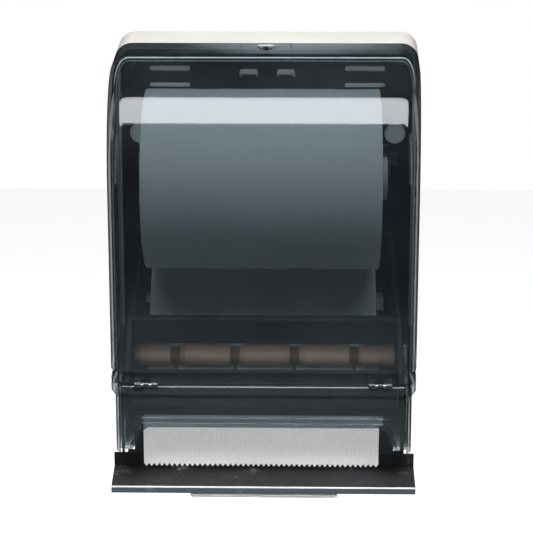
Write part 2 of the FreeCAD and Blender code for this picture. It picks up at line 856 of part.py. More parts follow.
def make_throat():
    body = stacked_body("throat_body", [
        (s.throat_low, s.neck_depth),
        (s.flange_foot, s.neck_depth),
        (s.flange_low, 0),
        (THROAT_HIGH - s.seam_bevel, 0),
        (THROAT_HIGH, s.seam_bevel),
    ], CASING_FRONT, THROAT_REAR)
    hollow = footprint(s.neck_depth + s.throat_wall, CASING_FRONT + ROOM)
    add_pocket(body, add_sketch(body, "XY", up(s.throat_low), [hollow]))
    arch = [
        (s.arch_half - s.arch_shoulder, up(s.arch_height)),
        (s.arch_half, up(s.arch_height) - s.arch_drop),
        (s.leg_knee_half, up(s.leg_knee_height)),
        (s.leg_foot_half, up(s.leg_foot_height)),
        (s.leg_step_half, up(s.leg_foot_height)),
        (s.leg_step_half, up(s.throat_low) - OVER),
    ]
    outline = arch + [(-u, v) for u, v in reversed(arch)]
    add_pocket(body, add_sketch(body, "XZ", ROOM - s.cover_depth, [outline]), 2 * ROOM, backwards=True)
    back = THROAT_FRONT + s.leg_depth
    extras = []
    # inner walls of the legs, along the sides of the arch
    for side in (-1, 1):
        wall = [(side * u, v) for u, v in arch[1:4]]
        wall += [(side * (u + s.leg_wall), v) for u, v in reversed(arch[1:4])]
        extras.append(plate("leg_wall", "XZ", back, s.leg_depth - OVER, [wall]))
    # beads along the outlet's upper lip
    bead_y = THROAT_FRONT + s.bead_radius - s.bead_rise
    for height in (s.bead_low, s.bead_high):
        extras.append(rod("lip_bead", (-s.arch_half, bead_y, up(height)), s.bead_radius, 2 * s.arch_half))
    half = s.throat_rib / 2
    for x in (0, -s.throat_rib_inner, s.throat_rib_inner, -s.throat_rib_outer, s.throat_rib_outer):
        low = (x - half, THROAT_INSIDE - OVER, up(s.blade_high) + s.throat_rib_gap)
        high = (x + half, THROAT_FRONT + s.throat_rib_depth, up(THROAT_HIGH) - s.throat_rib_drop)
        extras.append(block("throat_rib", low, high))
    y, z = HINGE
    windows, bores = [], []
    for centre, low_x, high_x in hinge_spans():
        windows.append(block("throat_hinge_window", (low_x, -FAR, z - s.hinge_window),
                             (high_x, y + s.hinge_radius + OVER, z + OVER)))
        bores.append(rod("throat_hinge_bore", (low_x, y, z), s.hinge_pin_radius, s.hinge_width))
        lug_x = centre - s.hinge_mid_lug / 2
        extras.append(rod("throat_knuckle", (lug_x, y, z), s.hinge_radius, s.hinge_mid_lug))
        extras.append(block("throat_knuckle_web", (lug_x, -s.cover_depth, z - s.hinge_window - BITE),
                            (lug_x + s.hinge_mid_lug, y + s.hinge_radius, z)))
    shell = cut("throat_cut", body, *windows)
    node("throat_cover", cut("throat_cover", fuse("throat_solid", shell, *extras), *bores))
    for name, (centre, low_x, high_x) in zip(("hinge_pin_left", "hinge_pin_right"), hinge_spans()):
        node(name, rod(name, (low_x + s.hinge_side_gap, y, z), s.hinge_pin_radius,
                       s.hinge_width - 2 * s.hinge_side_gap))


def make_blade():
    low, high = up(s.blade_low), up(s.blade_high)
    count = int(2 * s.blade_half.value / s.tooth_pitch.value)
    start = -s.tooth_pitch * count / 2
    outline = [(start, high)]
    for tooth in range(count):
        outline.append((start + s.tooth_pitch * tooth, low + s.tooth_depth))
        outline.append((start + s.tooth_pitch * (tooth + 0.5), low))
    outline += [(-start, low + s.tooth_depth), (-start, high)]
    back = THROAT_INSIDE.value + s.blade_thickness.value
    points = [FreeCAD.Vector(u.value, back, v.value) for u, v in outline]
    face = Part.Face(Part.makePolygon(points + points[:1]))
    shape = face.extrude(FreeCAD.Vector(0, -s.blade_thickness.value, 0))
    node("cutter_blade", solid("cutter_blade", shape))


FRAME_FRONT = -s.frame_front


def tab_outline(x, z):
    """Rounded hanging slot with two small feet, as seen from the front."""
    reach, foot, corner = s.tab_width / 2, s.tab_foot, s.tab_corner
    low, sill, top = z - s.tab_drop, z - s.tab_sill, z + s.tab_rise
    return [
        (x - reach, low), (x - reach + foot, low), (x - reach + foot, sill), (x + reach - foot, sill),
        (x + reach - foot, low), (x + reach, low), (x + reach, top - corner, corner),
        (x + reach - corner, top), (x - reach + corner, top, corner), (x - reach, top - corner),
    ]


def make_frame():
    """The black pan that lies in the casing and carries the mechanism."""
    rear, wall, corner = -s.back_wall, s.frame_wall, s.frame_corner
    half = half_width(FRAME_FRONT, s.shell_wall) - s.frame_gap
    low, high = up(s.frame_low), up(s.frame_high)
    depth = s.frame_front - s.back_wall
    body = plate("frame_body", "XZ", rear, depth, [box_outline(-half, low, half, high)])

    def corner_edge(edge):
        middle = edge.CenterOfMass
        return (abs(middle.x) > half.value - NEAR and edge.BoundBox.YLength > depth.value - NEAR
                and (middle.z > high.value - NEAR or middle.z < low.value + NEAR))

    add_fillet(body, corner, corner_edge)
    inner = [
        (-half + wall, low + corner), (-half + corner, low + wall),
        (half - corner, low + wall), (half - wall, low + corner),
        (half - wall, high - corner), (half - corner, high - wall),
        (-half + corner, high - wall), (-half + wall, high - corner),
    ]
    add_pocket(body, add_sketch(body, "XZ", rear, [inner]), depth - wall, backwards=True)
    outlines, circles = [], []
    for side in (-1, 1):
        x, length = side * s.frame_slot_x, s.frame_slot_length
        outlines.append(slot_outline(x, up(s.frame_slot_high), length, s.frame_slot_width))
        outlines.append(slot_outline(x, up(s.frame_slot_low), length, s.frame_slot_width_low))
        outlines.append(tab_outline(side * s.tab_x, up(s.tab_height)))
        circles.append((side * s.disc_x, up(s.disc_height), s.disc_radius))
        for line in (-1, 1):
            circles.append((side * s.slot_spacing_x / 2, line * s.slot_spacing_z / 2, s.access_radius))
    add_pocket(body, add_sketch(body, "XZ", FRAME_FRONT, outlines, circles))
    node("chassis_frame", body)


# Places of the drive, in the plane seen from the right side

def polar(centre, radius, angle):
    return (centre[0] + radius * cosine(angle), centre[1] + radius * sine(angle))


PIVOT = (-s.pivot_depth, up(s.pivot_height))
PINION = polar(PIVOT, s.gear_module * (s.sector_teeth + s.pinion_teeth) / 2, s.pinion_bearing)
IDLER = polar(PINION, s.gear_module * (s.wheel_teeth + s.idler_teeth) / 2, s.idler_bearing)
ROLLER = polar(IDLER, s.gear_module * (s.idler_teeth + s.roller_teeth) / 2, s.roller_bearing)
PRESS_REACH = s.roller_radius + s.press_radius + s.paper + 2 * s.paper_gap
PRESS = polar(ROLLER, PRESS_REACH, s.press_bearing)
YOKE = (-s.yoke_pivot_depth, up(s.yoke_pivot_height))
ROLL = (-s.roll_depth, up(s.roll_height))
CHEEK_OUTER = s.cheek_inner + s.cheek_wall
FIRST_PLANE = CHEEK_OUTER + s.gear_gap
SECOND_PLANE = FIRST_PLANE + s.gear_face + s.gear_gap
SLEEVE_PITCH = s.sleeve_length + s.sleeve_gap
ROLLER_HALF = SLEEVE_PITCH + s.sleeve_length / 2 + s.sleeve_gap + s.sleeve_outer_length
FINGER_PLACES = (-1.5, -0.5, 0.5, 1.5)  # between the five sleeves, in sleeve pitches


def make_cheeks():
    nose = PIVOT[0] - s.cheek_nose
    outline = [
        (FRAME_FRONT, up(s.cheek_low)), (FRAME_FRONT, up(s.cheek_high)), (-s.cheek_shelf, up(s.cheek_high)),
        (-s.cheek_slope_depth, up(s.cheek_slope_height)),
        (-s.rail_depth - s.cheek_rail_cover, up(s.rail_high) + s.cheek_rail_cover),
        (nose, PIVOT[1] + s.cheek_nose_rise), (nose, PIVOT[1] - s.cheek_nose_drop),
        (-s.cheek_heel_depth, up(s.cheek_heel_height)),
    ]
    for side, name in ((-1, "cheek_left"), (1, "cheek_right")):
        circles = [
            (PIVOT[0], PIVOT[1], s.pivot_radius),
            (ROLLER[0], ROLLER[1], s.shaft_radius + s.running_fit + s.bush_wall),
            (YOKE[0], YOKE[1], s.stud_radius),
        ]
        if side > 0:
            circles += [(PINION[0], PINION[1], s.stud_radius), (IDLER[0], IDLER[1], s.stud_radius)]
        start = s.cheek_inner if side > 0 else -CHEEK_OUTER
        node(name, plate(name, "YZ", start, s.cheek_wall, [outline], circles))


def make_rail():
    front, wall = -s.rail_depth, s.rail_wall
    rear = front + wall
    low, high = up(s.rail_low), up(s.rail_high)
    profile = [
        (front, low), (rear, low), (rear, high - wall), (rear + s.rail_flange, high - wall),
        (rear + s.rail_flange, high), (front + wall, high, wall), (front, high - wall),
    ]
    node("guide_rail", plate("guide_rail", "YZ", 0, 2 * s.cheek_inner, [profile], both_ways=True))


def strip_point(along, off):
    """Point on the paper's way out of the rollers: along it, and off it towards the drive roller."""
    reach = s.roller_radius + s.paper_gap + s.paper / 2
    start = polar(ROLLER, reach, s.press_bearing)
    turn_c, turn_s = cosine(s.press_bearing), sine(s.press_bearing)
    return (start[0] + along * turn_s - off * turn_c, start[1] - along * turn_c - off * turn_s)


def strip_outline(*corners):
    return [strip_point(as_size(along), as_size(off)) for along, off in corners]


def make_chute():
    near, far = s.chute_off, s.chute_off + s.chute_wall
    lower = strip_outline((s.chute_start, -far), (s.chute_end, -far), (s.chute_end, -near),
                          (s.chute_start, -near))
    node("outlet_chute", plate("outlet_chute", "YZ", 0, 2 * s.cheek_inner, [lower], both_ways=True))
    upper = strip_outline((s.strip_start, near), (s.strip_end, near), (s.strip_end, far), (s.strip_start, far))
    web = plate("strip_bar_web", "YZ", 0, 2 * s.cheek_inner, [upper], both_ways=True)
    finger = strip_outline(
        (s.finger_tip, s.finger_tip_off), (s.finger_end, near), (s.finger_end, far),
        (s.strip_start, s.finger_top_off), (s.finger_back, s.finger_back_off),
    )
    fingers = []
    for place in FINGER_PLACES:
        middle = SLEEVE_PITCH * place
        fingers.append(plate("strip_finger", "YZ", middle, s.finger_width, [finger], both_ways=True))
    node("strip_bar", fuse("strip_bar", web, *fingers))


# Gears

PRESSURE_ANGLE = math.radians(20)
DEDENDUM = 1.25
ROOT_STEP = 0.05  # least height of the straight foot of a tooth
SECTOR_PHASE = math.radians(s.pinion_bearing.value)
SECTOR_MARGIN = 3  # teeth beyond each end of the swing
SECTOR_ADDENDUM = 0.85
SPOKES = 5
SPRING_TURNS = 2
TEETH = {name: round(getattr(s, name + "_teeth").value)
         for name in ("sector", "pinion", "wheel", "idler", "roller")}


def involute(angle):
    return math.tan(angle) - angle


def gear_points(teeth, phase, addendum=1.0, first=0, count=None):
    """Points of the teeth, counter-clockwise seen with Y to the right and Z up; phase is in radians."""
    module = s.gear_module.value
    pitch_radius = module * teeth / 2
    base = pitch_radius * math.cos(PRESSURE_ANGLE)
    tip = pitch_radius + addendum * module
    root = pitch_radius - DEDENDUM * module
    half_pitch = math.pi / (2 * teeth) - s.backlash.value / (2 * pitch_radius)

    def half_angle(radius):
        if radius <= base:
            return half_pitch + involute(PRESSURE_ANGLE)
        return half_pitch + involute(PRESSURE_ANGLE) - involute(math.acos(base / radius))

    low = max(root + ROOT_STEP, base)
    radii = [root, low, (low + pitch_radius) / 2, pitch_radius, (pitch_radius + tip) / 2, tip]
    points = []
    for tooth in range(first, first + (count or teeth)):
        centre = phase + 2 * math.pi * tooth / teeth
        points += [(radius, centre - half_angle(radius)) for radius in radii]
        points += [(radius, centre + half_angle(radius)) for radius in reversed(radii)]
    return points


def mesh_phase(first_centre, second_centre, first_phase, first_teeth, second_teeth):
    """Phase that puts the second gear in mesh with the first."""
    dy = second_centre[0].value - first_centre[0].value
    dz = second_centre[1].value - first_centre[1].value
    bearing = math.atan2(dz, dy)
    share = (bearing - first_phase) / (2 * math.pi / first_teeth)
    return bearing + math.pi - 2 * math.pi / second_teeth * (0.5 - share)


def extrude_points(points, centre, start, length):
    """Prism along +X of a polygon given by (radius, angle) about a centre."""
    corners = []
    for radius, angle in points:
        y = centre[0].value + radius * math.cos(angle)
        z = centre[1].value + radius * math.sin(angle)
        corners.append(FreeCAD.Vector(start, y, z))
    face = Part.Face(Part.makePolygon(corners + corners[:1]))
    return face.extrude(FreeCAD.Vector(length, 0, 0))


def disc(centre, start, length, radius):
    base = FreeCAD.Vector(start, as_size(centre[0]).value, as_size(centre[1]).value)
    return Part.makeCylinder(radius, length, base, FreeCAD.Vector(1, 0, 0))


def compound_shape(phase, wheel_phase, bore):
    """Pinion and wheel in one piece, with a recessed and pierced web."""
    face, gap = s.gear_face.value, s.gear_gap.value
    first, second = FIRST_PLANE.value, SECOND_PLANE.value
    pinion = extrude_points(gear_points(TEETH["pinion"], phase), PINION, first, face + gap)
    wheel = extrude_points(gear_points(TEETH["wheel"], wheel_phase), PINION, second, face)
    floor = second + face - s.web_recess.value
    recess = disc(PINION, floor, face, s.web_outer.value).cut(disc(PINION, floor, face, s.web_inner.value))
    shape = pinion.fuse(wheel).cut(recess)
    for spoke in range(SPOKES):
        angle = as_size(360 * spoke / SPOKES)
        place = polar(PINION, s.web_hole_ring, angle)
        shape = shape.cut(disc(place, second - OVER, face + 2 * OVER, s.web_hole_radius.value))
    return shape.cut(disc(PINION, first - OVER, second + face - first + 2 * OVER, bore))


def make_gears():
    face, gap = s.gear_face.value, s.gear_gap.value
    first, second = FIRST_PLANE.value, SECOND_PLANE.value
    pinion_phase = mesh_phase(PIVOT, PINION, SECTOR_PHASE, TEETH["sector"], TEETH["pinion"])
    wheel_phase = math.radians(s.idler_bearing.value)
    idler_phase = mesh_phase(PINION, IDLER, wheel_phase, TEETH["wheel"], TEETH["idler"])
    roller_phase = mesh_phase(IDLER, ROLLER, idler_phase, TEETH["idler"], TEETH["roller"])
    stud = s.stud_radius.value
    hub = stud + s.gear_hub_wall.value
    bore = stud + s.running_fit.value
    node("compound_gear", solid("compound_gear", compound_shape(pinion_phase, wheel_phase, bore)))

    idler = extrude_points(gear_points(TEETH["idler"], idler_phase), IDLER, second, face)
    idler = idler.fuse(disc(IDLER, first, face + gap, hub))
    idler = idler.cut(disc(IDLER, first - OVER, second + face - first + 2 * OVER, bore))
    node("idler_gear", solid("idler_gear", idler))

    roller = extrude_points(gear_points(TEETH["roller"], roller_phase), ROLLER, second, face)
    clutch_radius = s.shaft_radius.value + s.clutch_wall.value
    roller = roller.cut(disc(ROLLER, second - OVER, face + 2 * OVER, clutch_radius))
    node("roller_gear", solid("roller_gear", roller))
    clutch = disc(ROLLER, second, face, clutch_radius).cut(disc(ROLLER, second, face, s.shaft_radius.value))
    node("one_way_clutch", solid("one_way_clutch", clutch))

    inner = s.cheek_inner.value
    head_x = second + face + s.head_gap.value
    for name, centre in (("compound_stud", PINION), ("idler_stud", IDLER)):
        shank = disc(centre, inner, head_x - inner, stud)
        node(name, solid(name, shank.fuse(disc(centre, head_x, s.stud_head.value, hub))))


def make_bar():
    """The push bar: a sloped face over a turned-down lip, with end caps and ribs behind it."""
    back, low, high = -s.bar_back_depth, up(s.bar_back_low), up(s.bar_back_high)
    front, lip, foot = -s.bar_depth, up(s.bar_lip_height), up(0)
    wall, nose = s.bar_wall, s.bar_nose
    outer = [
        (back, high), (back, low), (front + nose, lip, s.bar_nose_radius), (front, lip - nose), (front, foot),
    ]
    inner = [
        (front + wall, foot), (front + wall, lip - nose - s.bar_slope_drop), (back + wall, low - wall),
        (back + wall, high),
    ]
    body = plate("push_bar", "YZ", 0, s.bar_length, [outer + inner], both_ways=True)
    caps = [(back + wall, high), (back, high), (back, low), (front + BITE, lip - s.bar_cap_drop),
            (front + BITE, foot), (back + wall, up(s.bar_cap_low))]
    for start in (-s.bar_length / 2, s.bar_length / 2 - wall):
        add_pad(body, add_sketch(body, "YZ", start, [caps]), wall)
        doc.recompute()
    inside = front + wall - BITE
    ribs = [(back + OVER, low - BITE), (inside, lip - s.bar_rib_drop), (inside, foot + s.bar_rib_front),
            (back + OVER, foot + s.bar_rib_rear)]
    for place in (-3, -2, -1, 1, 2, 3):
        middle = s.bar_length / 8 * place
        add_pad(body, add_sketch(body, "YZ", middle - s.bar_rib / 2, [ribs]), s.bar_rib)
        doc.recompute()
    node("push_bar", body)


ARM_BACK = s.bar_wall - s.bar_back_depth
FOOT_LOW = up(s.bar_back_low) - s.foot_drop
FOOT_HIGH = up(s.bar_back_high) - s.foot_drop


def arm_outline():
    """Outline of a push-bar arm, from its pivot down to the foot behind the bar."""
    half = s.arm_width / 2
    return [
        (PIVOT[0] - half, PIVOT[1]),
        (ARM_BACK - s.arm_set_forward, FOOT_HIGH + s.arm_shoulder),
        (ARM_BACK, FOOT_HIGH + s.arm_heel),
        (ARM_BACK, FOOT_LOW),
        (ARM_BACK + s.arm_toe, FOOT_LOW),
        (ARM_BACK + s.arm_calf, FOOT_HIGH + s.arm_toe),
        (PIVOT[0] + half, PIVOT[1]),
    ]


def arm_pieces(name, start, wall, side):
    """Web, pivot boss and foot of one arm; start is its lower X face."""
    web = plate(name + "_web", "YZ", start, wall, [arm_outline()])
    boss = rod(name + "_boss", (start, *PIVOT), s.arm_width / 2, wall)
    inner = s.cheek_inner - s.arm_foot
    low_x, high_x = (inner, start + wall) if side > 0 else (start, -inner)
    foot = block(name + "_foot", (low_x, ARM_BACK, FOOT_LOW), (high_x, ARM_BACK + s.foot_wall, FOOT_HIGH))
    return [web, boss, foot]


def sector_teeth():
    """The toothed quadrant behind the right arm, centred on the pivot."""
    swing = round(s.bar_swing.value / 360 * TEETH["sector"])
    first = -swing - SECTOR_MARGIN
    count = swing + 2 * SECTOR_MARGIN
    points = gear_points(TEETH["sector"], SECTOR_PHASE, SECTOR_ADDENDUM, first, count)
    hub = s.arm_width.value / 2 - OVER
    points += [(hub, points[-1][1]), (hub, points[0][1])]
    return solid("sector_teeth_web", extrude_points(points, PIVOT, FIRST_PLANE.value, s.gear_face.value))


def make_arms():
    left_start = -SECOND_PLANE - s.arm_plate
    arms = {
        "bar_arm_left": (left_start, s.arm_plate, -1),
        "bar_arm_right": (FIRST_PLANE, s.gear_face, 1),
    }
    for name, (start, wall, side) in arms.items():
        pieces = arm_pieces(name, start, wall, side)
        if side > 0:
            pieces.append(sector_teeth())
        bore = rod(name + "_bore", (start - OVER, *PIVOT), s.pivot_radius + s.running_fit, wall + 2 * OVER)
        node(name, cut(name, fuse(name + "_solid", *pieces), bore))
    # the pivots, each with a thin head outside its arm
    ends = {
        "bar_pivot_left": (-1, SECOND_PLANE + s.arm_plate + s.head_gap),
        "bar_pivot_right": (1, FIRST_PLANE + s.gear_face + s.head_gap),
    }
    for name, (side, end) in ends.items():
        start = s.cheek_inner if side > 0 else -end
        shank = rod(name + "_shank", (start, *PIVOT), s.pivot_radius, end - s.cheek_inner)
        head_x = end if side > 0 else -end - s.pivot_head
        head = rod(name + "_head", (head_x, *PIVOT), s.pivot_radius + s.pivot_head_rim, s.pivot_head)
        node(name, fuse(name, shank, head))
    # screws that hold the feet to the bar
    screw_y = ARM_BACK + s.foot_wall + s.foot_screw_head
    screw_z = up((s.bar_back_low + s.bar_back_high) / 2)
    screws = []
    for side in (-1, 1):
        for place in (0, 1):
            x = side * (s.cheek_inner - s.arm_foot + s.foot_screw_first + s.foot_screw_pitch * place)
            screws.append(rod("bar_screw", (x, screw_y, screw_z), s.foot_screw_radius, s.foot_screw_head,
                              ALONG_FRONT))
    node("bar_screws", fuse("bar_screws", *screws))


def make_return_spring():
    """Torsion spring round the left pivot, between the cheek and the arm, with two straight legs."""
    wire = s.spring_wire.value / 2
    coil = s.pivot_radius.value + s.soft_gap.value + wire
    start = -SECOND_PLANE.value + s.soft_gap.value + wire
    pitch = (s.gear_face.value - s.soft_gap.value - 2 * wire) / SPRING_TURNS
    helix = Part.makeHelix(pitch, pitch * SPRING_TURNS, coil)
    helix.rotate(FreeCAD.Vector(0, 0, 0), FreeCAD.Vector(0, 1, 0), 90)
    helix.translate(FreeCAD.Vector(start, PIVOT[0].value, PIVOT[1].value))
    turns = helix.Edges[0]
    first, last = turns.FirstParameter, turns.LastParameter
    leg = s.spring_leg.value
    start_point, end_point = turns.valueAt(first), turns.valueAt(last)
    start_way, end_way = turns.tangentAt(first), turns.tangentAt(last)
    leg_in = Part.makeLine(start_point - start_way * leg, start_point)
    leg_out = Part.makeLine(end_point, end_point + end_way * leg)
    path = Part.Wire([leg_in, *helix.Edges, leg_out])
    profile = Part.Wire(Part.makeCircle(wire, start_point - start_way * leg, start_way))
    node("return_spring", solid("return_spring", path.makePipeShell([profile], True, True)))


def make_roller():
    end = SECOND_PLANE + s.gear_face + s.shaft_end
    start = -CHEEK_OUTER - s.shaft_tail
    node("roller_shaft", rod("roller_shaft", (start, *ROLLER), s.shaft_radius, end - start))
    core_start = s.core_left_gap - ROLLER_HALF
    core = rod("roller_core_solid", (core_start, *ROLLER), s.roller_core_radius,
               ROLLER_HALF - s.core_right_gap - core_start)
    bore = rod("roller_core_bore", (-ROLLER_HALF, *ROLLER), s.shaft_radius, 2 * ROLLER_HALF)
    node("roller_core", cut("roller_core", core, bore))
    spans = [(-ROLLER_HALF, s.sleeve_outer_length)]
    for place in (-1, 0, 1):
        spans.append((SLEEVE_PITCH * place - s.sleeve_length / 2, s.sleeve_length))
    spans.append((ROLLER_HALF - s.sleeve_outer_length, s.sleeve_outer_length))
    for number, (low_x, length) in enumerate(spans, start=1):
        name = f"roller_sleeve_{number}"
        taper = cone(name + "_taper", (low_x, *ROLLER), s.roller_core_radius + s.sleeve_tip, s.roller_radius,
                     s.sleeve_cone)
        barrel = rod(name + "_barrel", (low_x + s.sleeve_cone, *ROLLER), s.roller_radius,
                     length - s.sleeve_cone)
        hole = rod(name + "_hole", (low_x - OVER, *ROLLER), s.roller_core_radius, length + 2 * OVER)
        node(name, cut(name, fuse(name + "_solid", taper, barrel), hole))
    for side, name in ((-1, "roller_bush_left"), (1, "roller_bush_right")):
        start = s.cheek_inner if side > 0 else -CHEEK_OUTER
        sleeve = rod(name + "_sleeve", (start, *ROLLER), s.shaft_radius + s.running_fit + s.bush_wall,
                     s.cheek_wall)
        rim_x = s.cheek_inner - s.bush_rim if side > 0 else -s.cheek_inner
        rim = rod(name + "_rim", (rim_x, *ROLLER), s.bush_rim_radius, s.bush_rim)
        hole = rod(name + "_hole", (start - OVER, *ROLLER), s.shaft_radius + s.running_fit,
                   s.cheek_wall + 2 * OVER)
        node(name, cut(name, fuse(name + "_solid", sleeve, rim), hole))


def make_press():
    """The press roller, and the sprung yoke that carries it."""
    half = ROLLER_HALF - s.press_short
    shaft_half = half + s.press_shaft_end
    node("press_shaft", rod("press_shaft_long", (-shaft_half, *PRESS), s.press_shaft_radius, 2 * shaft_half))
    core_half = half - s.press_core_gap
    core = rod("press_core_solid", (-core_half, *PRESS), s.press_core_radius, 2 * core_half)
    bore = rod("press_core_bore", (-half, *PRESS), s.press_shaft_radius, 2 * half)
    node("press_core", cut("press_core", core, bore))
    wheels = []
    for place in FINGER_PLACES:
        low_x = SLEEVE_PITCH * place - s.press_wheel_length / 2
        wheels.append(rod("press_wheel", (low_x, *PRESS), s.press_radius, s.press_wheel_length))
    hole = rod("press_wheel_hole", (-half, *PRESS), s.press_core_radius, 2 * half)
    node("press_wheels", cut("press_wheels", fuse("press_wheel_set", *wheels), hole))

    inner = half + s.yoke_side_gap
    boss, top, foot = s.yoke_boss, s.yoke_top, s.yoke_foot
    outline = [
        (PRESS[0] - boss, PRESS[1] - boss), (YOKE[0] - s.stud_radius, YOKE[1] - foot),
        (YOKE[0] + foot, YOKE[1] - foot), (YOKE[0] + foot, YOKE[1] + top), (YOKE[0], YOKE[1] + top),
        (PRESS[0] + boss, PRESS[1] + s.yoke_brow), (PRESS[0] - boss, PRESS[1] + s.yoke_brow),
    ]
    circles = [(PRESS[0], PRESS[1], s.press_shaft_radius + s.running_fit),
               (YOKE[0], YOKE[1], s.stud_radius + s.running_fit)]
    pieces = []
    for start in (inner, -inner - s.yoke_wall):
        pieces.append(plate("yoke_side", "YZ", start, s.yoke_wall, [outline], circles))
    pieces.append(block("yoke_bridge", (-inner, YOKE[0] + foot - s.yoke_wall, YOKE[1] - foot),
                        (inner, YOKE[0] + foot, YOKE[1] + top)))
    node("pressure_yoke", fuse("pressure_yoke", *pieces))
    pins = []
    for start in (-CHEEK_OUTER, half - OVER):
        pins.append(rod("yoke_pin", (start, *YOKE), s.stud_radius, CHEEK_OUTER - half + OVER))
    node("yoke_pins", fuse("yoke_pins", *pins))

    leaf = s.press_leaf_wall
    touch = YOKE[0] + foot + s.soft_gap
    strip = [
        (FRAME_FRONT, YOKE[1] - s.press_leaf_low), (FRAME_FRONT, YOKE[1] + s.press_leaf_high),
        (FRAME_FRONT - leaf, YOKE[1] + s.press_leaf_high), (FRAME_FRONT - leaf, YOKE[1] - s.press_leaf_bend),
        (touch, YOKE[1] - s.press_tip_high), (touch, YOKE[1] - s.press_tip_low),
        (FRAME_FRONT - 2 * leaf, YOKE[1] - s.press_leaf_low),
    ]
    springs = []
    for side in (-1, 1):
        low_x = side * s.press_leaf_x - s.press_leaf_width / 2
        springs.append(plate("press_spring", "YZ", low_x, s.press_leaf_width, [strip]))
    node("press_springs", fuse("press_springs", *springs))


def make_towel():
    left = s.roll_offset - s.roll_width / 2
    through = s.roll_width + 2 * OVER
    roll = rod("roll_solid", (left, *ROLL), s.roll_radius, s.roll_width)
    hole = rod("roll_hole", (left - OVER, *ROLL), s.core_radius, through)
    node("towel_roll", cut("towel_roll", roll, hole))
    tube = rod("core_solid", (left, *ROLL), s.core_radius, s.roll_width)
    bore = rod("core_bore_hole", (left - OVER, *ROLL), s.core_bore, through)
    node("roll_core", cut("roll_core", tube, bore))
    node("towel_sheet", solid("towel_sheet", sheet_shape(left.value)))


def sheet_shape(left):
    """The sheet from the roll, behind the drive roller and out over the push bar."""
    half_paper = s.paper.value / 2
    roll = (ROLL[0].value, ROLL[1].value)
    drive = (ROLLER[0].value, ROLLER[1].value)
    roll_r = s.roll_radius.value + s.paper_gap.value + half_paper
    drive_r = s.roller_radius.value + s.paper_gap.value + half_paper
    dy, dz = drive[0] - roll[0], drive[1] - roll[1]
    side_angle = math.atan2(dz, dy) + math.acos((roll_r - drive_r) / math.hypot(dy, dz))
    out_angle = math.radians(s.press_bearing.value)
    way = (math.sin(out_angle), -math.cos(out_angle))
    drop_y = -s.outlet_depth.value
    bend = s.paper_bend.value

    def on(centre, radius, angle):
        return (centre[0] + radius * math.cos(angle), centre[1] + radius * math.sin(angle))

    out = on(drive, drive_r, out_angle)
    corner_z = out[1] + (out[0] - drop_y) / -way[0] * way[1]
    turn = math.atan2(-way[0], -way[1])
    back_off = bend * math.tan(turn / 2)
    bend_start = (drop_y - way[0] * back_off, corner_z - way[1] * back_off)
    bend_end = (drop_y, corner_z - back_off)
    bend_centre = (drop_y + bend, bend_end[1])

    def edge_path(off):
        """The path moved to its rear (positive off) or front side, as edges from the roll to the end."""
        places = [
            on(roll, roll_r + off, side_angle),
            on(drive, drive_r + off, side_angle),
            on(drive, drive_r + off, (side_angle + out_angle) / 2),
            on(drive, drive_r + off, out_angle),
            (bend_start[0] + math.cos(out_angle) * off, bend_start[1] + math.sin(out_angle) * off),
            on(bend_centre, bend - off, math.pi - turn / 2),
            (bend_end[0] + off, bend_end[1]),
            (drop_y + off, up(s.paper_end).value),
        ]
        a, b, c, d, e, f, g, h = [FreeCAD.Vector(left, *place) for place in places]
        edges = [Part.makeLine(a, b), Part.Arc(b, c, d).toShape(), Part.makeLine(d, e),
                 Part.Arc(e, f, g).toShape(), Part.makeLine(g, h)]
        return edges, a, h

    rear, rear_start, rear_end = edge_path(half_paper)
    front, front_start, front_end = edge_path(-half_paper)
    ends = [Part.makeLine(rear_start, front_start), Part.makeLine(rear_end, front_end)]
    wire = Part.Wire(Part.__sortEdges__(rear + front + ends))
    return Part.Face(wire).extrude(FreeCAD.Vector(s.roll_width.value, 0, 0))


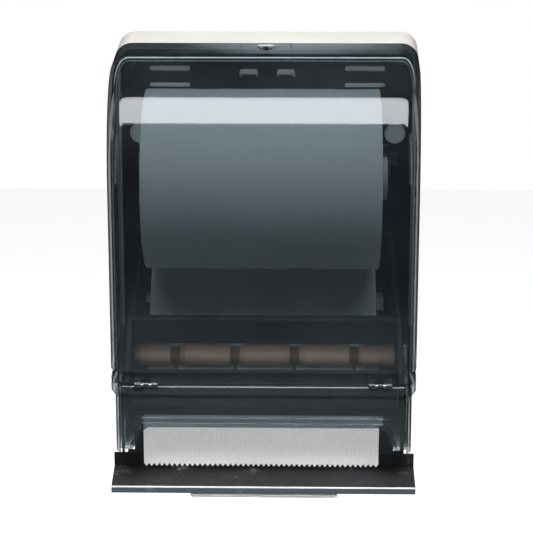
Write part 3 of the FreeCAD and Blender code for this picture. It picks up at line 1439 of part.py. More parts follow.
def make_holder(side, word):
    """One sprung arm with its hub, bracket, pin and leaf spring."""
    hub_y, hub_z = ROLL[0], ROLL[1] + s.hub_rise
    half, wall = s.holder_width / 2, s.holder_wall
    pivot_x, pivot_y = side * s.holder_pivot_x, -s.holder_pivot_depth
    low, high = hub_z - half, hub_z + half
    name = "holder_arm_" + word
    start = s.holder_inner if side > 0 else -s.holder_inner - wall
    arm = plate(name + "_web", "YZ", start, wall,
                [[(hub_y, low), (pivot_y, low), (pivot_y, high), (hub_y, high, half)]])
    barrel = rod(name + "_barrel", (pivot_x, pivot_y, low), s.barrel_radius, s.holder_width, ALONG_Z)
    bore = rod(name + "_bore", (pivot_x, pivot_y, low - OVER), s.holder_pin_radius + s.running_fit,
               s.holder_width + 2 * OVER, ALONG_Z)
    node(name, cut(name, fuse(name + "_solid", arm, barrel), bore))

    name = "roll_hub_" + word
    length = s.holder_inner - s.hub_tip_x
    if side > 0:
        taper = cone(name + "_taper", (s.hub_tip_x, hub_y, hub_z), s.hub_tip_radius, s.hub_radius, length)
        hollow_x = s.hub_tip_x - OVER
    else:
        taper = cone(name + "_taper", (-s.holder_inner, hub_y, hub_z), s.hub_radius, s.hub_tip_radius, length)
        hollow_x = -s.holder_inner + wall
    hollow = rod(name + "_hollow", (hollow_x, hub_y, hub_z), s.hub_tip_radius - wall, length - wall + OVER)
    node(name, cut(name, taper, hollow))

    name = "holder_bracket_" + word
    reach, lug, gap = s.bracket_half, s.bracket_lug, s.slip_gap
    foot, head = low - gap - lug, high + gap + lug
    pieces = [block(name + "_back", (pivot_x - reach, FRAME_FRONT - s.bracket_wall, foot),
                    (pivot_x + reach, FRAME_FRONT, head))]
    for lug_low in (foot, high + gap):
        pieces.append(block(name + "_lug", (pivot_x - reach, pivot_y - reach, lug_low),
                            (pivot_x + reach, FRAME_FRONT, lug_low + lug)))
    pin_low, pin_length = foot - OVER, head - foot + 2 * OVER
    hole = rod(name + "_hole", (pivot_x, pivot_y, pin_low), s.holder_pin_radius, pin_length, ALONG_Z)
    node(name, cut(name, fuse(name + "_solid", *pieces), hole))
    name = "holder_pin_" + word
    node(name, rod(name, (pivot_x, pivot_y, pin_low), s.holder_pin_radius, pin_length, ALONG_Z))

    name = "holder_spring_" + word
    leaf, tip = s.leaf_wall, -s.leaf_tip_depth
    arm_face = s.holder_inner + wall + s.soft_gap
    out = s.holder_pivot_x + s.bracket_half + s.soft_gap
    bow = pivot_y - s.barrel_radius
    strip = [
        (arm_face, tip), (arm_face + leaf, tip), (out + leaf, bow), (out + leaf, FRAME_FRONT - leaf),
        (out + s.leaf_foot, FRAME_FRONT - leaf), (out + s.leaf_foot, FRAME_FRONT), (out, FRAME_FRONT),
        (out, bow),
    ]
    strip = [(side * as_size(x), as_size(y)) for x, y in strip]
    node(name, plate(name, "XY", hub_z - s.leaf_width / 2, s.leaf_width, [strip]))


def make_lock():
    y = -s.lock_depth
    front, roof = y - s.lock_block_front, top_z(y, 0)
    under = top_z(front - s.lock_front_gap, s.shell_wall) - s.lock_seat
    low = under - s.lock_block_height
    housing = block("lock_housing_block", (-s.lock_block_half, front, low),
                    (s.lock_block_half, y + s.lock_block_rear, under))
    hole = rod("lock_housing_hole", (0, y, low - OVER), s.lock_radius + s.running_fit, ROOM, ALONG_Z)
    node("lock_housing", cut("lock_housing", housing, hole))
    foot = low - s.slip_gap
    face = roof + s.lock_head_rise + s.lock_head_wall
    stem = rod("lock_stem", (0, y, foot), s.lock_radius, face - foot, ALONG_Z)
    head = rod("lock_head", (0, y, roof + s.lock_head_rise), s.lock_head_radius, s.lock_head_wall, ALONG_Z)
    half_key = s.keyway_width / 2
    keyway = block("lock_keyway", (-s.keyway_half, y - half_key, face - s.keyway_depth),
                   (s.keyway_half, y + half_key, face + OVER))
    node("lock_barrel", cut("lock_barrel", fuse("lock_barrel_solid", stem, head), keyway))
    cam_half = s.cam_width / 2
    cam_round = rod("cam_round", (0, y, foot - s.cam_wall), cam_half, s.cam_wall, ALONG_Z)
    cam_arm = block("cam_arm", (0, y - cam_half, foot - s.cam_wall), (s.cam_length, y + cam_half, foot))
    node("lock_cam", fuse("lock_cam", cam_round, cam_arm))
    # the keeper under the casing's lip, which the cam turns behind
    lip_in = s.shell_wall + s.slip_gap + s.lip_wall
    lip_front = CASING_FRONT - s.lip_reach
    node("lock_keeper", block("keeper_block", (-s.keeper_half, lip_front, foot + s.keeper_gap),
                              (s.keeper_half, CASING_FRONT - BITE, top_z(lip_front, lip_in))))


def make_clips():
    """Two hooked clips that hold a nearly used roll, as an inverted J seen from the front."""
    low, high, sill = up(s.clip_low), up(s.clip_high), up(s.clip_sill)
    reach, gap, under = s.clip_half, s.clip_gap, high - s.clip_top
    for name, x in (("stub_clip_left", s.clip_left_x), ("stub_clip_right", s.clip_right_x)):
        first = x - s.clip_leg
        second = first + s.clip_wall
        outline = [
            (x - reach, sill), (first, sill), (first, low), (second, low), (second, under),
            (second + gap, under), (second + gap, low), (x + reach, low), (x + reach, high),
            (x - reach, high),
        ]
        node(name, plate(name, "XZ", FRAME_FRONT, s.clip_depth - s.frame_front, [outline]))


def make_screws():
    """Screws of the cheeks, behind the inner frame, and of the frame, on its front."""
    screws = []
    cheek_x = s.cheek_inner + s.cheek_wall / 2
    behind = FRAME_FRONT + s.frame_wall + s.screw_head
    for side in (-1, 1):
        places = [(cheek_x, behind, s.cheek_screw_low), (cheek_x, behind, s.cheek_screw_mid),
                  (cheek_x, behind, s.cheek_screw_high), (s.frame_screw_x, FRAME_FRONT, s.frame_screw_low),
                  (s.frame_screw_x, FRAME_FRONT, s.frame_screw_high)]
        for x, y, height in places:
            screws.append(rod("frame_screw", (side * x, y, up(height)), s.screw_radius, s.screw_head,
                              ALONG_FRONT))
    node("frame_screws", fuse("frame_screws", *screws))


make_cover(make_casing())
make_throat()
make_blade()
make_frame()
make_cheeks()
make_rail()
make_chute()
make_gears()
make_bar()
make_arms()
make_return_spring()
make_roller()
make_press()
make_towel()
make_holder(-1, "left")
make_holder(1, "right")
make_lock()
make_clips()
make_screws()

doc.recompute()
for feature in doc.Objects:
    if "Invalid" in feature.State or "Error" in feature.State:
        raise RuntimeError(f"{feature.Label} failed: {feature.State}")
os.makedirs("parts", exist_ok=True)
for name, feature in nodes.items():
    shape = feature.Shape
    if shape.isNull() or not shape.isValid() or not shape.Solids:
        raise RuntimeError(f"{name} has no valid solid")
    shape.exportStep(f"parts/{name}.step")
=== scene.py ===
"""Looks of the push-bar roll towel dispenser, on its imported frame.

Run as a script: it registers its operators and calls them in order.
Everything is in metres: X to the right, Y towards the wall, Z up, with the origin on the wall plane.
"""

import json
import math
import random

import bmesh
import bpy
from bpy.props import FloatProperty, FloatVectorProperty, PointerProperty
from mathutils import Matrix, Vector


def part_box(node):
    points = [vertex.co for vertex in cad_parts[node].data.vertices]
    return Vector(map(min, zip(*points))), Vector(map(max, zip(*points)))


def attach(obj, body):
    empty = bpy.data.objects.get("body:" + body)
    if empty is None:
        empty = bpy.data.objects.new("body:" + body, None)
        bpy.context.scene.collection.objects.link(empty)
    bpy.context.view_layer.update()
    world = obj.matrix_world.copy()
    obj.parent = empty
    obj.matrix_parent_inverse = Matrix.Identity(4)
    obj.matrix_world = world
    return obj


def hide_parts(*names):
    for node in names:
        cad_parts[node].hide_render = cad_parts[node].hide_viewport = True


bl_info = {
    "name": "Towel dispenser looks",
    "version": (1, 0, 0),
    "blender": (4, 5, 0),
    "location": "View3D > Sidebar > Dispenser",
    "description": "Finishes, paper, inner forms, screws and stage of a push-bar towel dispenser",
    "category": "Object",
}

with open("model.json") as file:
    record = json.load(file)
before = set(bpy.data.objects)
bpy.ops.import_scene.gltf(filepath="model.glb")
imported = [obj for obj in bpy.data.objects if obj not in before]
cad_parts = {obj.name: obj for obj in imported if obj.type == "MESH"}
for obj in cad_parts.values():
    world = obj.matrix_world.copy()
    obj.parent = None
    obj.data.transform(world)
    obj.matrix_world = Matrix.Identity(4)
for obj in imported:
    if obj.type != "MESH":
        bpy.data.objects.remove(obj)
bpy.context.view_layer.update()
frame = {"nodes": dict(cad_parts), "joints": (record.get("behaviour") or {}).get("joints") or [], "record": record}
JOINTS = {joint["name"]: joint for joint in frame["joints"]}
# The push bar's rounded nose lies in front of NOSE_BACK, and the grain fades out inside an oval on its face.
NOSE_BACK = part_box("push_bar")[0].y + 0.0035
NOSE_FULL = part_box("push_bar")[0].y + 0.002
OVAL_PLACE, OVAL_REACH = (0.0345, -0.2235, -0.2055), (0.013, 0.006, 0.0065)


def axis_place(joint):
    """Y and Z of a joint whose axis runs along X."""
    place = JOINTS[joint]["pos_m"]
    return place[1], place[2]


# Node helpers

def add_node(tree, kind, inputs=None, **settings):
    """A node with its settings and input values; an input value may be an output socket to link from."""
    node = tree.nodes.new(kind)
    for key, value in settings.items():
        setattr(node, key, value)
    for key, value in (inputs or {}).items():
        if isinstance(value, bpy.types.NodeSocket):
            tree.links.new(value, node.inputs[key])
        else:
            node.inputs[key].default_value = value
    return node


def math_node(tree, operation, *values):
    """The result of a Math node on up to three values."""
    return add_node(tree, "ShaderNodeMath", dict(enumerate(values)), operation=operation).outputs[0]


def times(tree, first, second):
    """The product of two values."""
    return math_node(tree, "MULTIPLY", first, second)


def larger(tree, first, second):
    """The larger of two values."""
    return math_node(tree, "MAXIMUM", first, second)


def vector_math(tree, operation, *values):
    """The outputs of a Vector Math node; its vector comes first."""
    return add_node(tree, "ShaderNodeVectorMath", dict(enumerate(values)), operation=operation).outputs


def split(tree, vector):
    """The X, Y and Z of a vector."""
    return add_node(tree, "ShaderNodeSeparateXYZ", {0: vector}).outputs


def combine(tree, *values):
    """A vector of up to three values."""
    return add_node(tree, "ShaderNodeCombineXYZ", dict(enumerate(values))).outputs[0]


def object_place(tree):
    """The shaded point in the object's own space, in metres."""
    return add_node(tree, "ShaderNodeTexCoord").outputs["Object"]


def noise(tree, place, scale, detail, roughness=0.5, output=0):
    """Value of a noise texture, or its colour with output "Color"."""
    inputs = {"Vector": place, "Scale": scale, "Detail": detail, "Roughness": roughness}
    return add_node(tree, "ShaderNodeTexNoise", inputs).outputs[output]


def mix_colour(tree, factor, first, second):
    """The first colour at factor 0, the second at 1."""
    return add_node(tree, "ShaderNodeMix", {0: factor, 6: first, 7: second}, data_type="RGBA").outputs[2]


def fade(tree, value, low, high, to_low=0.0, to_high=1.0):
    """Straight change from to_low to to_high as the value goes from low to high, held at both ends."""
    inputs = {0: value, 1: low, 2: high, 3: to_low, 4: to_high}
    return add_node(tree, "ShaderNodeMapRange", inputs).outputs[0]


def new_group(name, inputs, outputs):
    """A shader group with these sockets: its tree, what it is given, and the node its values leave by."""
    tree = bpy.data.node_groups.new(name, "ShaderNodeTree")
    for label, kind, default in inputs:
        socket = tree.interface.new_socket(label, in_out="INPUT", socket_type=kind)
        socket.default_value = default
    for label, kind in outputs:
        tree.interface.new_socket(label, in_out="OUTPUT", socket_type=kind)
    return tree, tree.nodes.new("NodeGroupInput").outputs, tree.nodes.new("NodeGroupOutput")


def use_group(tree, group, **inputs):
    """The outputs of one of GROUPS, given these inputs."""
    return add_node(tree, "ShaderNodeGroup", inputs, node_tree=GROUPS[group]).outputs


FLOAT, VECTOR = "NodeSocketFloat", "NodeSocketVector"


def make_moulded_grain():
    """Fine spark-eroded texture of moulded plastic, with broad uneven patches."""
    tree, given, leave = new_group(
        "moulded_grain",
        [("Scale", FLOAT, 1800.0), ("Patch", FLOAT, 22.0)],
        [("Height", FLOAT), ("Shade", FLOAT)],
    )
    place = object_place(tree)
    fine = noise(tree, place, given["Scale"], 3.0, 0.6)
    patch = noise(tree, place, given["Patch"], 4.0, 0.55)
    tree.links.new(fine, leave.inputs["Height"])
    tree.links.new(patch, leave.inputs["Shade"])
    return tree


def make_leather_grain():
    """Leather-like cells of the push bar, with pale rubbed specks between them."""
    tree, given, leave = new_group(
        "leather_grain",
        [("Scale", FLOAT, 620.0), ("Specks", FLOAT, 0.5)],
        [("Height", FLOAT), ("Speck", FLOAT)],
    )
    place = object_place(tree)
    bend = noise(tree, place, 260.0, 2.0, output="Color")
    moved = vector_math(tree, "MULTIPLY_ADD", bend, (0.0012, 0.0012, 0.0012), place)[0]
    cells = add_node(tree, "ShaderNodeTexVoronoi", {"Vector": moved, "Scale": given["Scale"]},
                     feature="DISTANCE_TO_EDGE").outputs["Distance"]
    height = fade(tree, cells, 0.0, 0.22)
    broad = noise(tree, place, 75.0, 5.0, 0.7)
    fine = noise(tree, place, 900.0, 2.0, 0.7)
    both = math_node(tree, "MULTIPLY_ADD", broad, 0.55, times(tree, fine, 0.45))
    speck = fade(tree, both, math_node(tree, "MULTIPLY_ADD", given["Specks"], -0.08, 0.60), 0.68)
    tree.links.new(height, leave.inputs["Height"])
    tree.links.new(speck, leave.inputs["Speck"])
    return tree


def make_paper_emboss():
    """Small embossed pockets in slanting rows, and the paper's soft fibres. Vector is flat paper in metres."""
    tree, given, leave = new_group(
        "paper_emboss",
        [("Vector", VECTOR, (0.0, 0.0, 0.0)), ("Pitch", FLOAT, 0.0028)],
        [("Height", FLOAT), ("Fibre", FLOAT)],
    )
    slant = (0.0, 0.0, math.radians(38.0))
    turned = add_node(tree, "ShaderNodeMapping", {"Vector": given["Vector"], "Rotation": slant}).outputs[0]
    parts = split(tree, turned)
    turns = math_node(tree, "DIVIDE", 2.0 * math.pi, given["Pitch"])
    rows = math_node(tree, "SINE", times(tree, parts[0], turns))
    columns = math_node(tree, "SINE", times(tree, parts[1], times(tree, turns, 0.72)))
    pocket = fade(tree, times(tree, rows, columns), 0.1, 0.75)
    soft = noise(tree, given["Vector"], 950.0, 4.0, 0.7)
    height = math_node(tree, "MULTIPLY_ADD", soft, 0.6, pocket)
    fibre = noise(tree, given["Vector"], 300.0, 5.0, 0.75)
    tree.links.new(height, leave.inputs["Height"])
    tree.links.new(fibre, leave.inputs["Fibre"])
    return tree


def make_settled_dust():
    """Dust that lies on what faces up, in uneven patches."""
    tree, given, leave = new_group("settled_dust", [("Amount", FLOAT, 0.3)], [("Mask", FLOAT)])
    place = object_place(tree)
    normal = add_node(tree, "ShaderNodeNewGeometry").outputs["Normal"]
    rise = split(tree, normal)[2]
    up = fade(tree, rise, 0.25, 0.95)
    patch = noise(tree, place, 60.0, 6.0, 0.75)
    mask = times(tree, up, fade(tree, patch, 0.35, 0.75))
    tree.links.new(times(tree, mask, given["Amount"]), leave.inputs["Mask"])
    return tree


def make_brushed_lines():
    """Fine turned or drawn lines of bare metal, along the stretched axis."""
    tree, given, leave = new_group(
        "brushed_lines",
        [("Stretch", VECTOR, (1.0, 30.0, 30.0))],
        [("Height", FLOAT), ("Shade", FLOAT)],
    )
    place = object_place(tree)
    pulled = vector_math(tree, "MULTIPLY", place, given["Stretch"])[0]
    lines = noise(tree, pulled, 60.0, 4.0, 0.6)
    patch = noise(tree, place, 90.0, 5.0)
    tree.links.new(lines, leave.inputs["Height"])
    tree.links.new(patch, leave.inputs["Shade"])
    return tree


GROUPS = {}


def build_groups():
    """Fills GROUPS."""
    GROUPS["grain"] = make_moulded_grain()
    GROUPS["leather"] = make_leather_grain()
    GROUPS["emboss"] = make_paper_emboss()
    GROUPS["dust"] = make_settled_dust()
    GROUPS["lines"] = make_brushed_lines()


# Materials

def new_material(name):
    """An empty node material and its tree."""
    material = bpy.data.materials.new(name)
    material.use_nodes = True
    material.node_tree.nodes.clear()
    return material, material.node_tree


def show_shader(material, socket):
    """Links a shader to the material's output, and gives the material back."""
    tree = material.node_tree
    tree.links.new(socket, tree.nodes.new("ShaderNodeOutputMaterial").inputs[0])
    return material


def close_material(material, inputs):
    """Ends a material in a Principled shader with these inputs."""
    return show_shader(material, add_node(material.node_tree, "ShaderNodeBsdfPrincipled", inputs).outputs[0])


def shifted(colour, factor):
    """A colour made darker or lighter, with its alpha."""
    return (colour[0] * factor, colour[1] * factor, colour[2] * factor, 1.0)


def mottled(tree, shade, colour, darker, lighter):
    """A colour that goes from darker to lighter times itself with a noise value."""
    return mix_colour(tree, fade(tree, shade, 0.3, 0.7), shifted(colour, darker), shifted(colour, lighter))


def bump(tree, height, distance):
    """The normal of a surface with a height of 0 to 1 times the distance in metres."""
    inputs = {"Height": height, "Distance": distance, "Strength": 1.0}
    return add_node(tree, "ShaderNodeBump", inputs).outputs[0]


def moulded(name, colour, roughness, grain=1800.0, depth=0.00003, dust=0.2):
    """Moulded plastic: fine grain, uneven gloss, a little dust on what faces up."""
    material, tree = new_material(name)
    grained = use_group(tree, "grain", Scale=grain)
    dusty = use_group(tree, "dust", Amount=dust)
    base = mottled(tree, grained["Shade"], colour, 0.93, 1.06)
    base = mix_colour(tree, dusty["Mask"], base, (0.52, 0.51, 0.49, 1.0))
    rough = fade(tree, grained["Shade"], 0.3, 0.7, roughness - 0.05, roughness + 0.06)
    normal = bump(tree, grained["Height"], depth)
    return close_material(material, {"Base Color": base, "Roughness": rough, "Normal": normal})


def smoked(name, tint, haze):
    """See-through smoke plastic: darker where the view runs along the wall, with a thin haze and wipe marks.

    The walls are thin, so a ray that leaves the plastic meets the inverse index and mirrors as much as one that
    enters it. The way through the wall grows with the slant that the ray keeps inside.
    """
    plastic_index, kept_slant = 1.49, 0.45
    material, tree = new_material(name)
    grained = use_group(tree, "grain", Scale=900.0, Patch=14.0)
    facing = add_node(tree, "ShaderNodeLayerWeight", {"Blend": 0.5}).outputs["Facing"]
    cosine = math_node(tree, "SUBTRACT", 1.0, facing)
    sine_square = math_node(tree, "SUBTRACT", 1.0, times(tree, cosine, cosine))
    inside = math_node(tree, "SQRT", math_node(tree, "MULTIPLY_ADD", sine_square, -kept_slant, 1.0))
    travel = math_node(tree, "DIVIDE", 1.0, inside)
    channels = [math_node(tree, "POWER", channel, travel) for channel in tint]
    colour = add_node(tree, "ShaderNodeCombineColor", dict(enumerate(channels))).outputs[0]
    clear = add_node(tree, "ShaderNodeBsdfTransparent", {"Color": colour}).outputs[0]
    cloudy = add_node(tree, "ShaderNodeBsdfDiffuse", {"Color": (0.30, 0.36, 0.40, 1.0)}).outputs[0]
    veil = fade(tree, grained["Shade"], 0.3, 0.7, haze * 0.6, haze * 1.4)
    body = add_node(tree, "ShaderNodeMixShader", {0: veil, 1: clear, 2: cloudy}).outputs[0]
    rough = fade(tree, grained["Shade"], 0.3, 0.75, 0.02, 0.07)
    mirror = {"Color": (1.0, 1.0, 1.0, 1.0), "Roughness": rough}
    gloss = add_node(tree, "ShaderNodeBsdfGlossy", mirror).outputs[0]
    leaving = add_node(tree, "ShaderNodeNewGeometry").outputs["Backfacing"]
    index = math_node(tree, "MULTIPLY_ADD", leaving, 1.0 / plastic_index - plastic_index, plastic_index)
    rim = add_node(tree, "ShaderNodeFresnel", {"IOR": index}).outputs[0]
    return show_shader(material, add_node(tree, "ShaderNodeMixShader", {0: rim, 1: body, 2: gloss}).outputs[0])


def grained_black(name, colour):
    """Black plastic with a leather grain, rubbed pale in patches; the bar's nose has a painted highlight along its
    top edge and a painted bluish sheen on its front face.
    """
    material, tree = new_material(name)
    leather = use_group(tree, "leather", Scale=620.0, Specks=0.6)
    dusty = use_group(tree, "dust", Amount=0.25)
    where = add_node(tree, "ShaderNodeTexCoord").outputs
    place, normal = where["Object"], where["Normal"]
    depth = split(tree, place)[1]
    rise = split(tree, normal)[2]
    at_nose = fade(tree, depth, NOSE_BACK, NOSE_FULL)
    # Painted highlight: mask of the nose's rounded top edge, which is made pale in the colour.
    nose = times(tree, times(tree, fade(tree, rise, 0.15, 0.3), fade(tree, rise, 0.84, 0.74)), at_nose)
    from_oval = vector_math(tree, "SUBTRACT", place, OVAL_PLACE)[0]
    from_oval = vector_math(tree, "MULTIPLY", from_oval, tuple(1.0 / reach for reach in OVAL_REACH))[0]
    rough_part = fade(tree, vector_math(tree, "LENGTH", from_oval)["Value"], 0.8, 1.1)
    patch = noise(tree, place, 34.0, 2.0)
    rubbed = times(tree, fade(tree, patch, 0.46, 0.66, 0.04, 0.8), rough_part)
    speck = times(tree, leather["Speck"], rubbed)
    # Painted sheen: the nose's front face is given a lighter bluish grey than the black of the rest of the bar.
    lip = times(tree, fade(tree, rise, 0.25, 0.0), at_nose)
    base = mix_colour(tree, lip, shifted(colour, 0.7), (0.05, 0.068, 0.077, 1.0))
    base = mix_colour(tree, speck, base, (0.50, 0.51, 0.51, 1.0))
    base = mix_colour(tree, times(tree, dusty["Mask"], 0.1), base, (0.42, 0.42, 0.41, 1.0))
    # Painted highlight: the nose is mixed towards a pale grey in the colour, as well as made smoother.
    base = mix_colour(tree, times(tree, nose, 0.85), base, (0.72, 0.70, 0.69, 1.0))
    rough = fade(tree, leather["Height"], 0.0, 1.0, 0.62, 0.40)
    rough = math_node(tree, "MULTIPLY_ADD", nose, math_node(tree, "SUBTRACT", 0.22, rough), rough)
    grain = times(tree, leather["Height"], rough_part)
    normal = bump(tree, grain, 0.00015)
    return close_material(material, {
        "Base Color": base, "Roughness": rough, "Specular IOR Level": 0.3, "Normal": normal,
    })


def embossed_paper(name, colour, bump_depth):
    """Towel paper with its embossed pockets, laid out by the UV map named flat; the pockets carry painted shade in
    the colour.
    """
    material, tree = new_material(name)
    flat = add_node(tree, "ShaderNodeUVMap", uv_map="flat").outputs[0]
    paper = use_group(tree, "emboss", Vector=flat)
    base = mottled(tree, paper["Fibre"], colour, 0.94, 1.02)
    # Painted shade: the embossed pockets are darkened in the colour, on top of their bump.
    pocket = fade(tree, paper["Height"], 0.2, 1.3, 0.0, 0.16)
    base = mix_colour(tree, pocket, base, shifted(colour, 0.72))
    normal = bump(tree, times(tree, paper["Height"], -1.0), bump_depth)
    return close_material(material, {
        "Base Color": base, "Roughness": 0.92, "Specular IOR Level": 0.15, "Normal": normal,
    })


def bare_metal(name, colour, roughness, stretch=(1.0, 30.0, 30.0)):
    """Bare metal, drawn or turned along X unless the stretch says otherwise."""
    material, tree = new_material(name)
    lines = use_group(tree, "lines", Stretch=stretch)
    base = mottled(tree, lines["Shade"], colour, 0.86, 1.06)
    rough = fade(tree, lines["Height"], 0.3, 0.7, roughness - 0.07, roughness + 0.1)
    normal = bump(tree, lines["Height"], 0.00002)
    return close_material(material, {"Base Color": base, "Metallic": 1.0, "Roughness": rough, "Normal": normal})


def ground_rubber(name, colour, dust_colour):
    """Ground rubber with fine turning lines round its axis along X."""
    material, tree = new_material(name)
    lines = use_group(tree, "lines", Stretch=(34.0, 3.0, 3.0))
    grained = use_group(tree, "grain", Scale=1400.0, Patch=35.0)
    base = mottled(tree, grained["Shade"], colour, 0.86, 1.12)
    worn = fade(tree, lines["Height"], 0.5, 0.8, 0.0, 0.3)
    base = mix_colour(tree, worn, base, dust_colour)
    normal = bump(tree, lines["Height"], 0.00008)
    return close_material(material, {"Base Color": base, "Roughness": 0.78, "Normal": normal})


def wound_card(name, colour):
    """Brown card tube, with the slanting butt seams of its wound strip."""
    material, tree = new_material(name)
    grained = use_group(tree, "grain", Scale=700.0, Patch=45.0)
    winding = {"Vector": object_place(tree), "Scale": 5.0, "Distortion": 0.4}
    waves = add_node(tree, "ShaderNodeTexWave", winding, bands_direction="DIAGONAL").outputs["Fac"]
    seam = fade(tree, waves, 0.03, 0.0)
    base = mix_colour(tree, grained["Shade"], shifted(colour, 0.8), shifted(colour, 1.15))
    base = mix_colour(tree, seam, base, shifted(colour, 0.45))
    normal = bump(tree, grained["Height"], 0.00008)
    return close_material(material, {"Base Color": base, "Roughness": 0.9, "Normal": normal})


MATERIALS = {}


def build_materials(looks):
    """Fills MATERIALS, the moulded and metal ones from tables."""
    for name, colour, roughness, dust in (
        ("black_plastic", (0.013, 0.014, 0.016), 0.45, 0.12),
        ("white_plastic", (0.80, 0.80, 0.77), 0.38, 0.05),
        ("grey_plastic", (0.035, 0.036, 0.04), 0.42, 0.2),
        ("brown_plastic", (0.30, 0.20, 0.13), 0.5, 0.2),
    ):
        MATERIALS[name] = moulded(name, colour, roughness, dust=dust)
    for name, colour, roughness in (
        ("zinc_steel", (0.60, 0.61, 0.63), 0.34),
        ("spring_steel", (0.46, 0.46, 0.48), 0.28),
        ("bronze", (0.52, 0.36, 0.19), 0.42),
    ):
        MATERIALS[name] = bare_metal(name, colour, roughness)
    MATERIALS["nickel"] = bare_metal("nickel", (0.62, 0.61, 0.58), 0.2, stretch=(30.0, 30.0, 1.0))
    MATERIALS["cream_plastic"] = moulded("cream_plastic", looks.cream, 0.42, grain=2200.0, dust=0.1)
    MATERIALS["satin_blade"] = moulded("satin_blade", (0.50, 0.53, 0.54), 0.35, grain=2600.0, dust=0.0)
    MATERIALS["smoke_plastic"] = smoked("smoke_plastic", looks.smoke, looks.haze)
    MATERIALS["bar_plastic"] = grained_black("bar_plastic", (0.012, 0.013, 0.014))
    MATERIALS["brown_rubber"] = ground_rubber("brown_rubber", looks.sleeve, (0.78, 0.66, 0.54, 1.0))
    MATERIALS["dark_rubber"] = ground_rubber("dark_rubber", (0.03, 0.03, 0.03), (0.2, 0.2, 0.2, 1.0))
    MATERIALS["card"] = wound_card("card", (0.34, 0.24, 0.15))
    MATERIALS["paper"] = embossed_paper("paper", looks.paper, 0.00035)
    MATERIALS["roll_paper"] = embossed_paper("roll_paper", looks.paper, 0.0003)


# Mesh helpers

def new_object(name, data):
    """An object in the scene, with this mesh, lamp or camera."""
    made = bpy.data.objects.new(name, data)
    bpy.context.scene.collection.objects.link(made)
    return made


def mesh_object(name, bm, material, smooth=True):
    """Turns a bmesh into an object of one material."""
    mesh = bpy.data.meshes.new(name)
    bm.to_mesh(mesh)
    bm.free()
    mesh.materials.append(material)
    for polygon in mesh.polygons:
        polygon.use_smooth = smooth
    return new_object(name, mesh)


def mesh_piece(name, bm, material, body, smooth=True):
    """Turns a bmesh into a finished piece on a body."""
    piece = mesh_object(name, bm, MATERIALS[material], smooth)
    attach(piece, body)
    return piece


def grid_faces(bm, rows, closed=False):
    """Quads between rows of vertices of equal length."""
    for first, second in zip(rows, rows[1:]):
        count = len(first)
        for index in range(count if closed else count - 1):
            after = (index + 1) % count
            bm.faces.new((first[index], first[after], second[after], second[index]))


def lay_uv(bm, places):
    """Writes each vertex's flat place, in metres, into the UV map named flat."""
    layer = bm.loops.layers.uv.new("flat")
    for face in bm.faces:
        for loop in face.loops:
            loop[layer].uv = places[loop.vert]


# Paper

class PaperPath:
    """The towel's way from the roll round the drive roller to the outlet, as Y and Z along its length.

    The gap is that between the drawn paper and the roll or roller that it lies on.
    """

    def __init__(self):
        self.low, self.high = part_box("towel_sheet")
        roll_low, roll_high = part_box("towel_roll")
        sleeve_low, sleeve_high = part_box("roller_sleeve_2")
        self.roll = axis_place("roll_spin")
        self.drive = axis_place("drive_roller_spin")
        press = axis_place("press_roller_spin")
        self.gap = 0.0006
        self.roll_radius = (roll_high.z - roll_low.z) / 2 + self.gap
        self.drive_radius = (sleeve_high.z - sleeve_low.z) / 2 + self.gap
        self.out_angle = math.atan2(press[1] - self.drive[1], press[0] - self.drive[0])
        dy, dz = self.drive[0] - self.roll[0], self.drive[1] - self.roll[1]
        reach = math.hypot(dy, dz)
        self.side_angle = math.atan2(dz, dy) + math.acos((self.roll_radius - self.drive_radius) / reach)

    def points(self, bend, end, step):
        """Points about a step apart; the paper turns down with the bend radius and ends at height end."""

        def on(centre, radius, angle):
            """Y and Z on a circle."""
            return (centre[0] + radius * math.cos(angle), centre[1] + radius * math.sin(angle))

        def straight(start, finish):
            """Points from start on, without the finish itself."""
            count = max(1, round(math.dist(start, finish) / step))
            across, down = finish[0] - start[0], finish[1] - start[1]
            return [(start[0] + across * k / count, start[1] + down * k / count) for k in range(count)]

        def arc(centre, radius, start, finish):
            """The same between two angles of a circle."""
            count = max(4, round(radius * abs(finish - start) / step * 2))
            return [on(centre, radius, start + (finish - start) * k / count) for k in range(count)]

        leave = on(self.roll, self.roll_radius, self.side_angle)
        meet = on(self.drive, self.drive_radius, self.side_angle)
        out = on(self.drive, self.drive_radius, self.out_angle)
        way = (math.sin(self.out_angle), -math.cos(self.out_angle))
        drop = self.low.y + self.gap / 2
        reach = (out[0] - drop) / -way[0]
        corner = (drop, out[1] + reach * way[1])
        turn = math.atan2(-way[0], -way[1])
        back_off = bend * math.tan(turn / 2)
        start = (corner[0] - way[0] * back_off, corner[1] - way[1] * back_off)
        centre = (drop + bend, corner[1] - back_off)
        path = straight(leave, meet)
        path += arc(self.drive, self.drive_radius, self.side_angle, self.out_angle)
        path += straight(out, start)
        path += arc(centre, bend, math.pi - turn, math.pi)
        path += straight((drop, centre[1]), (drop, end))
        return path + [(drop, end)]


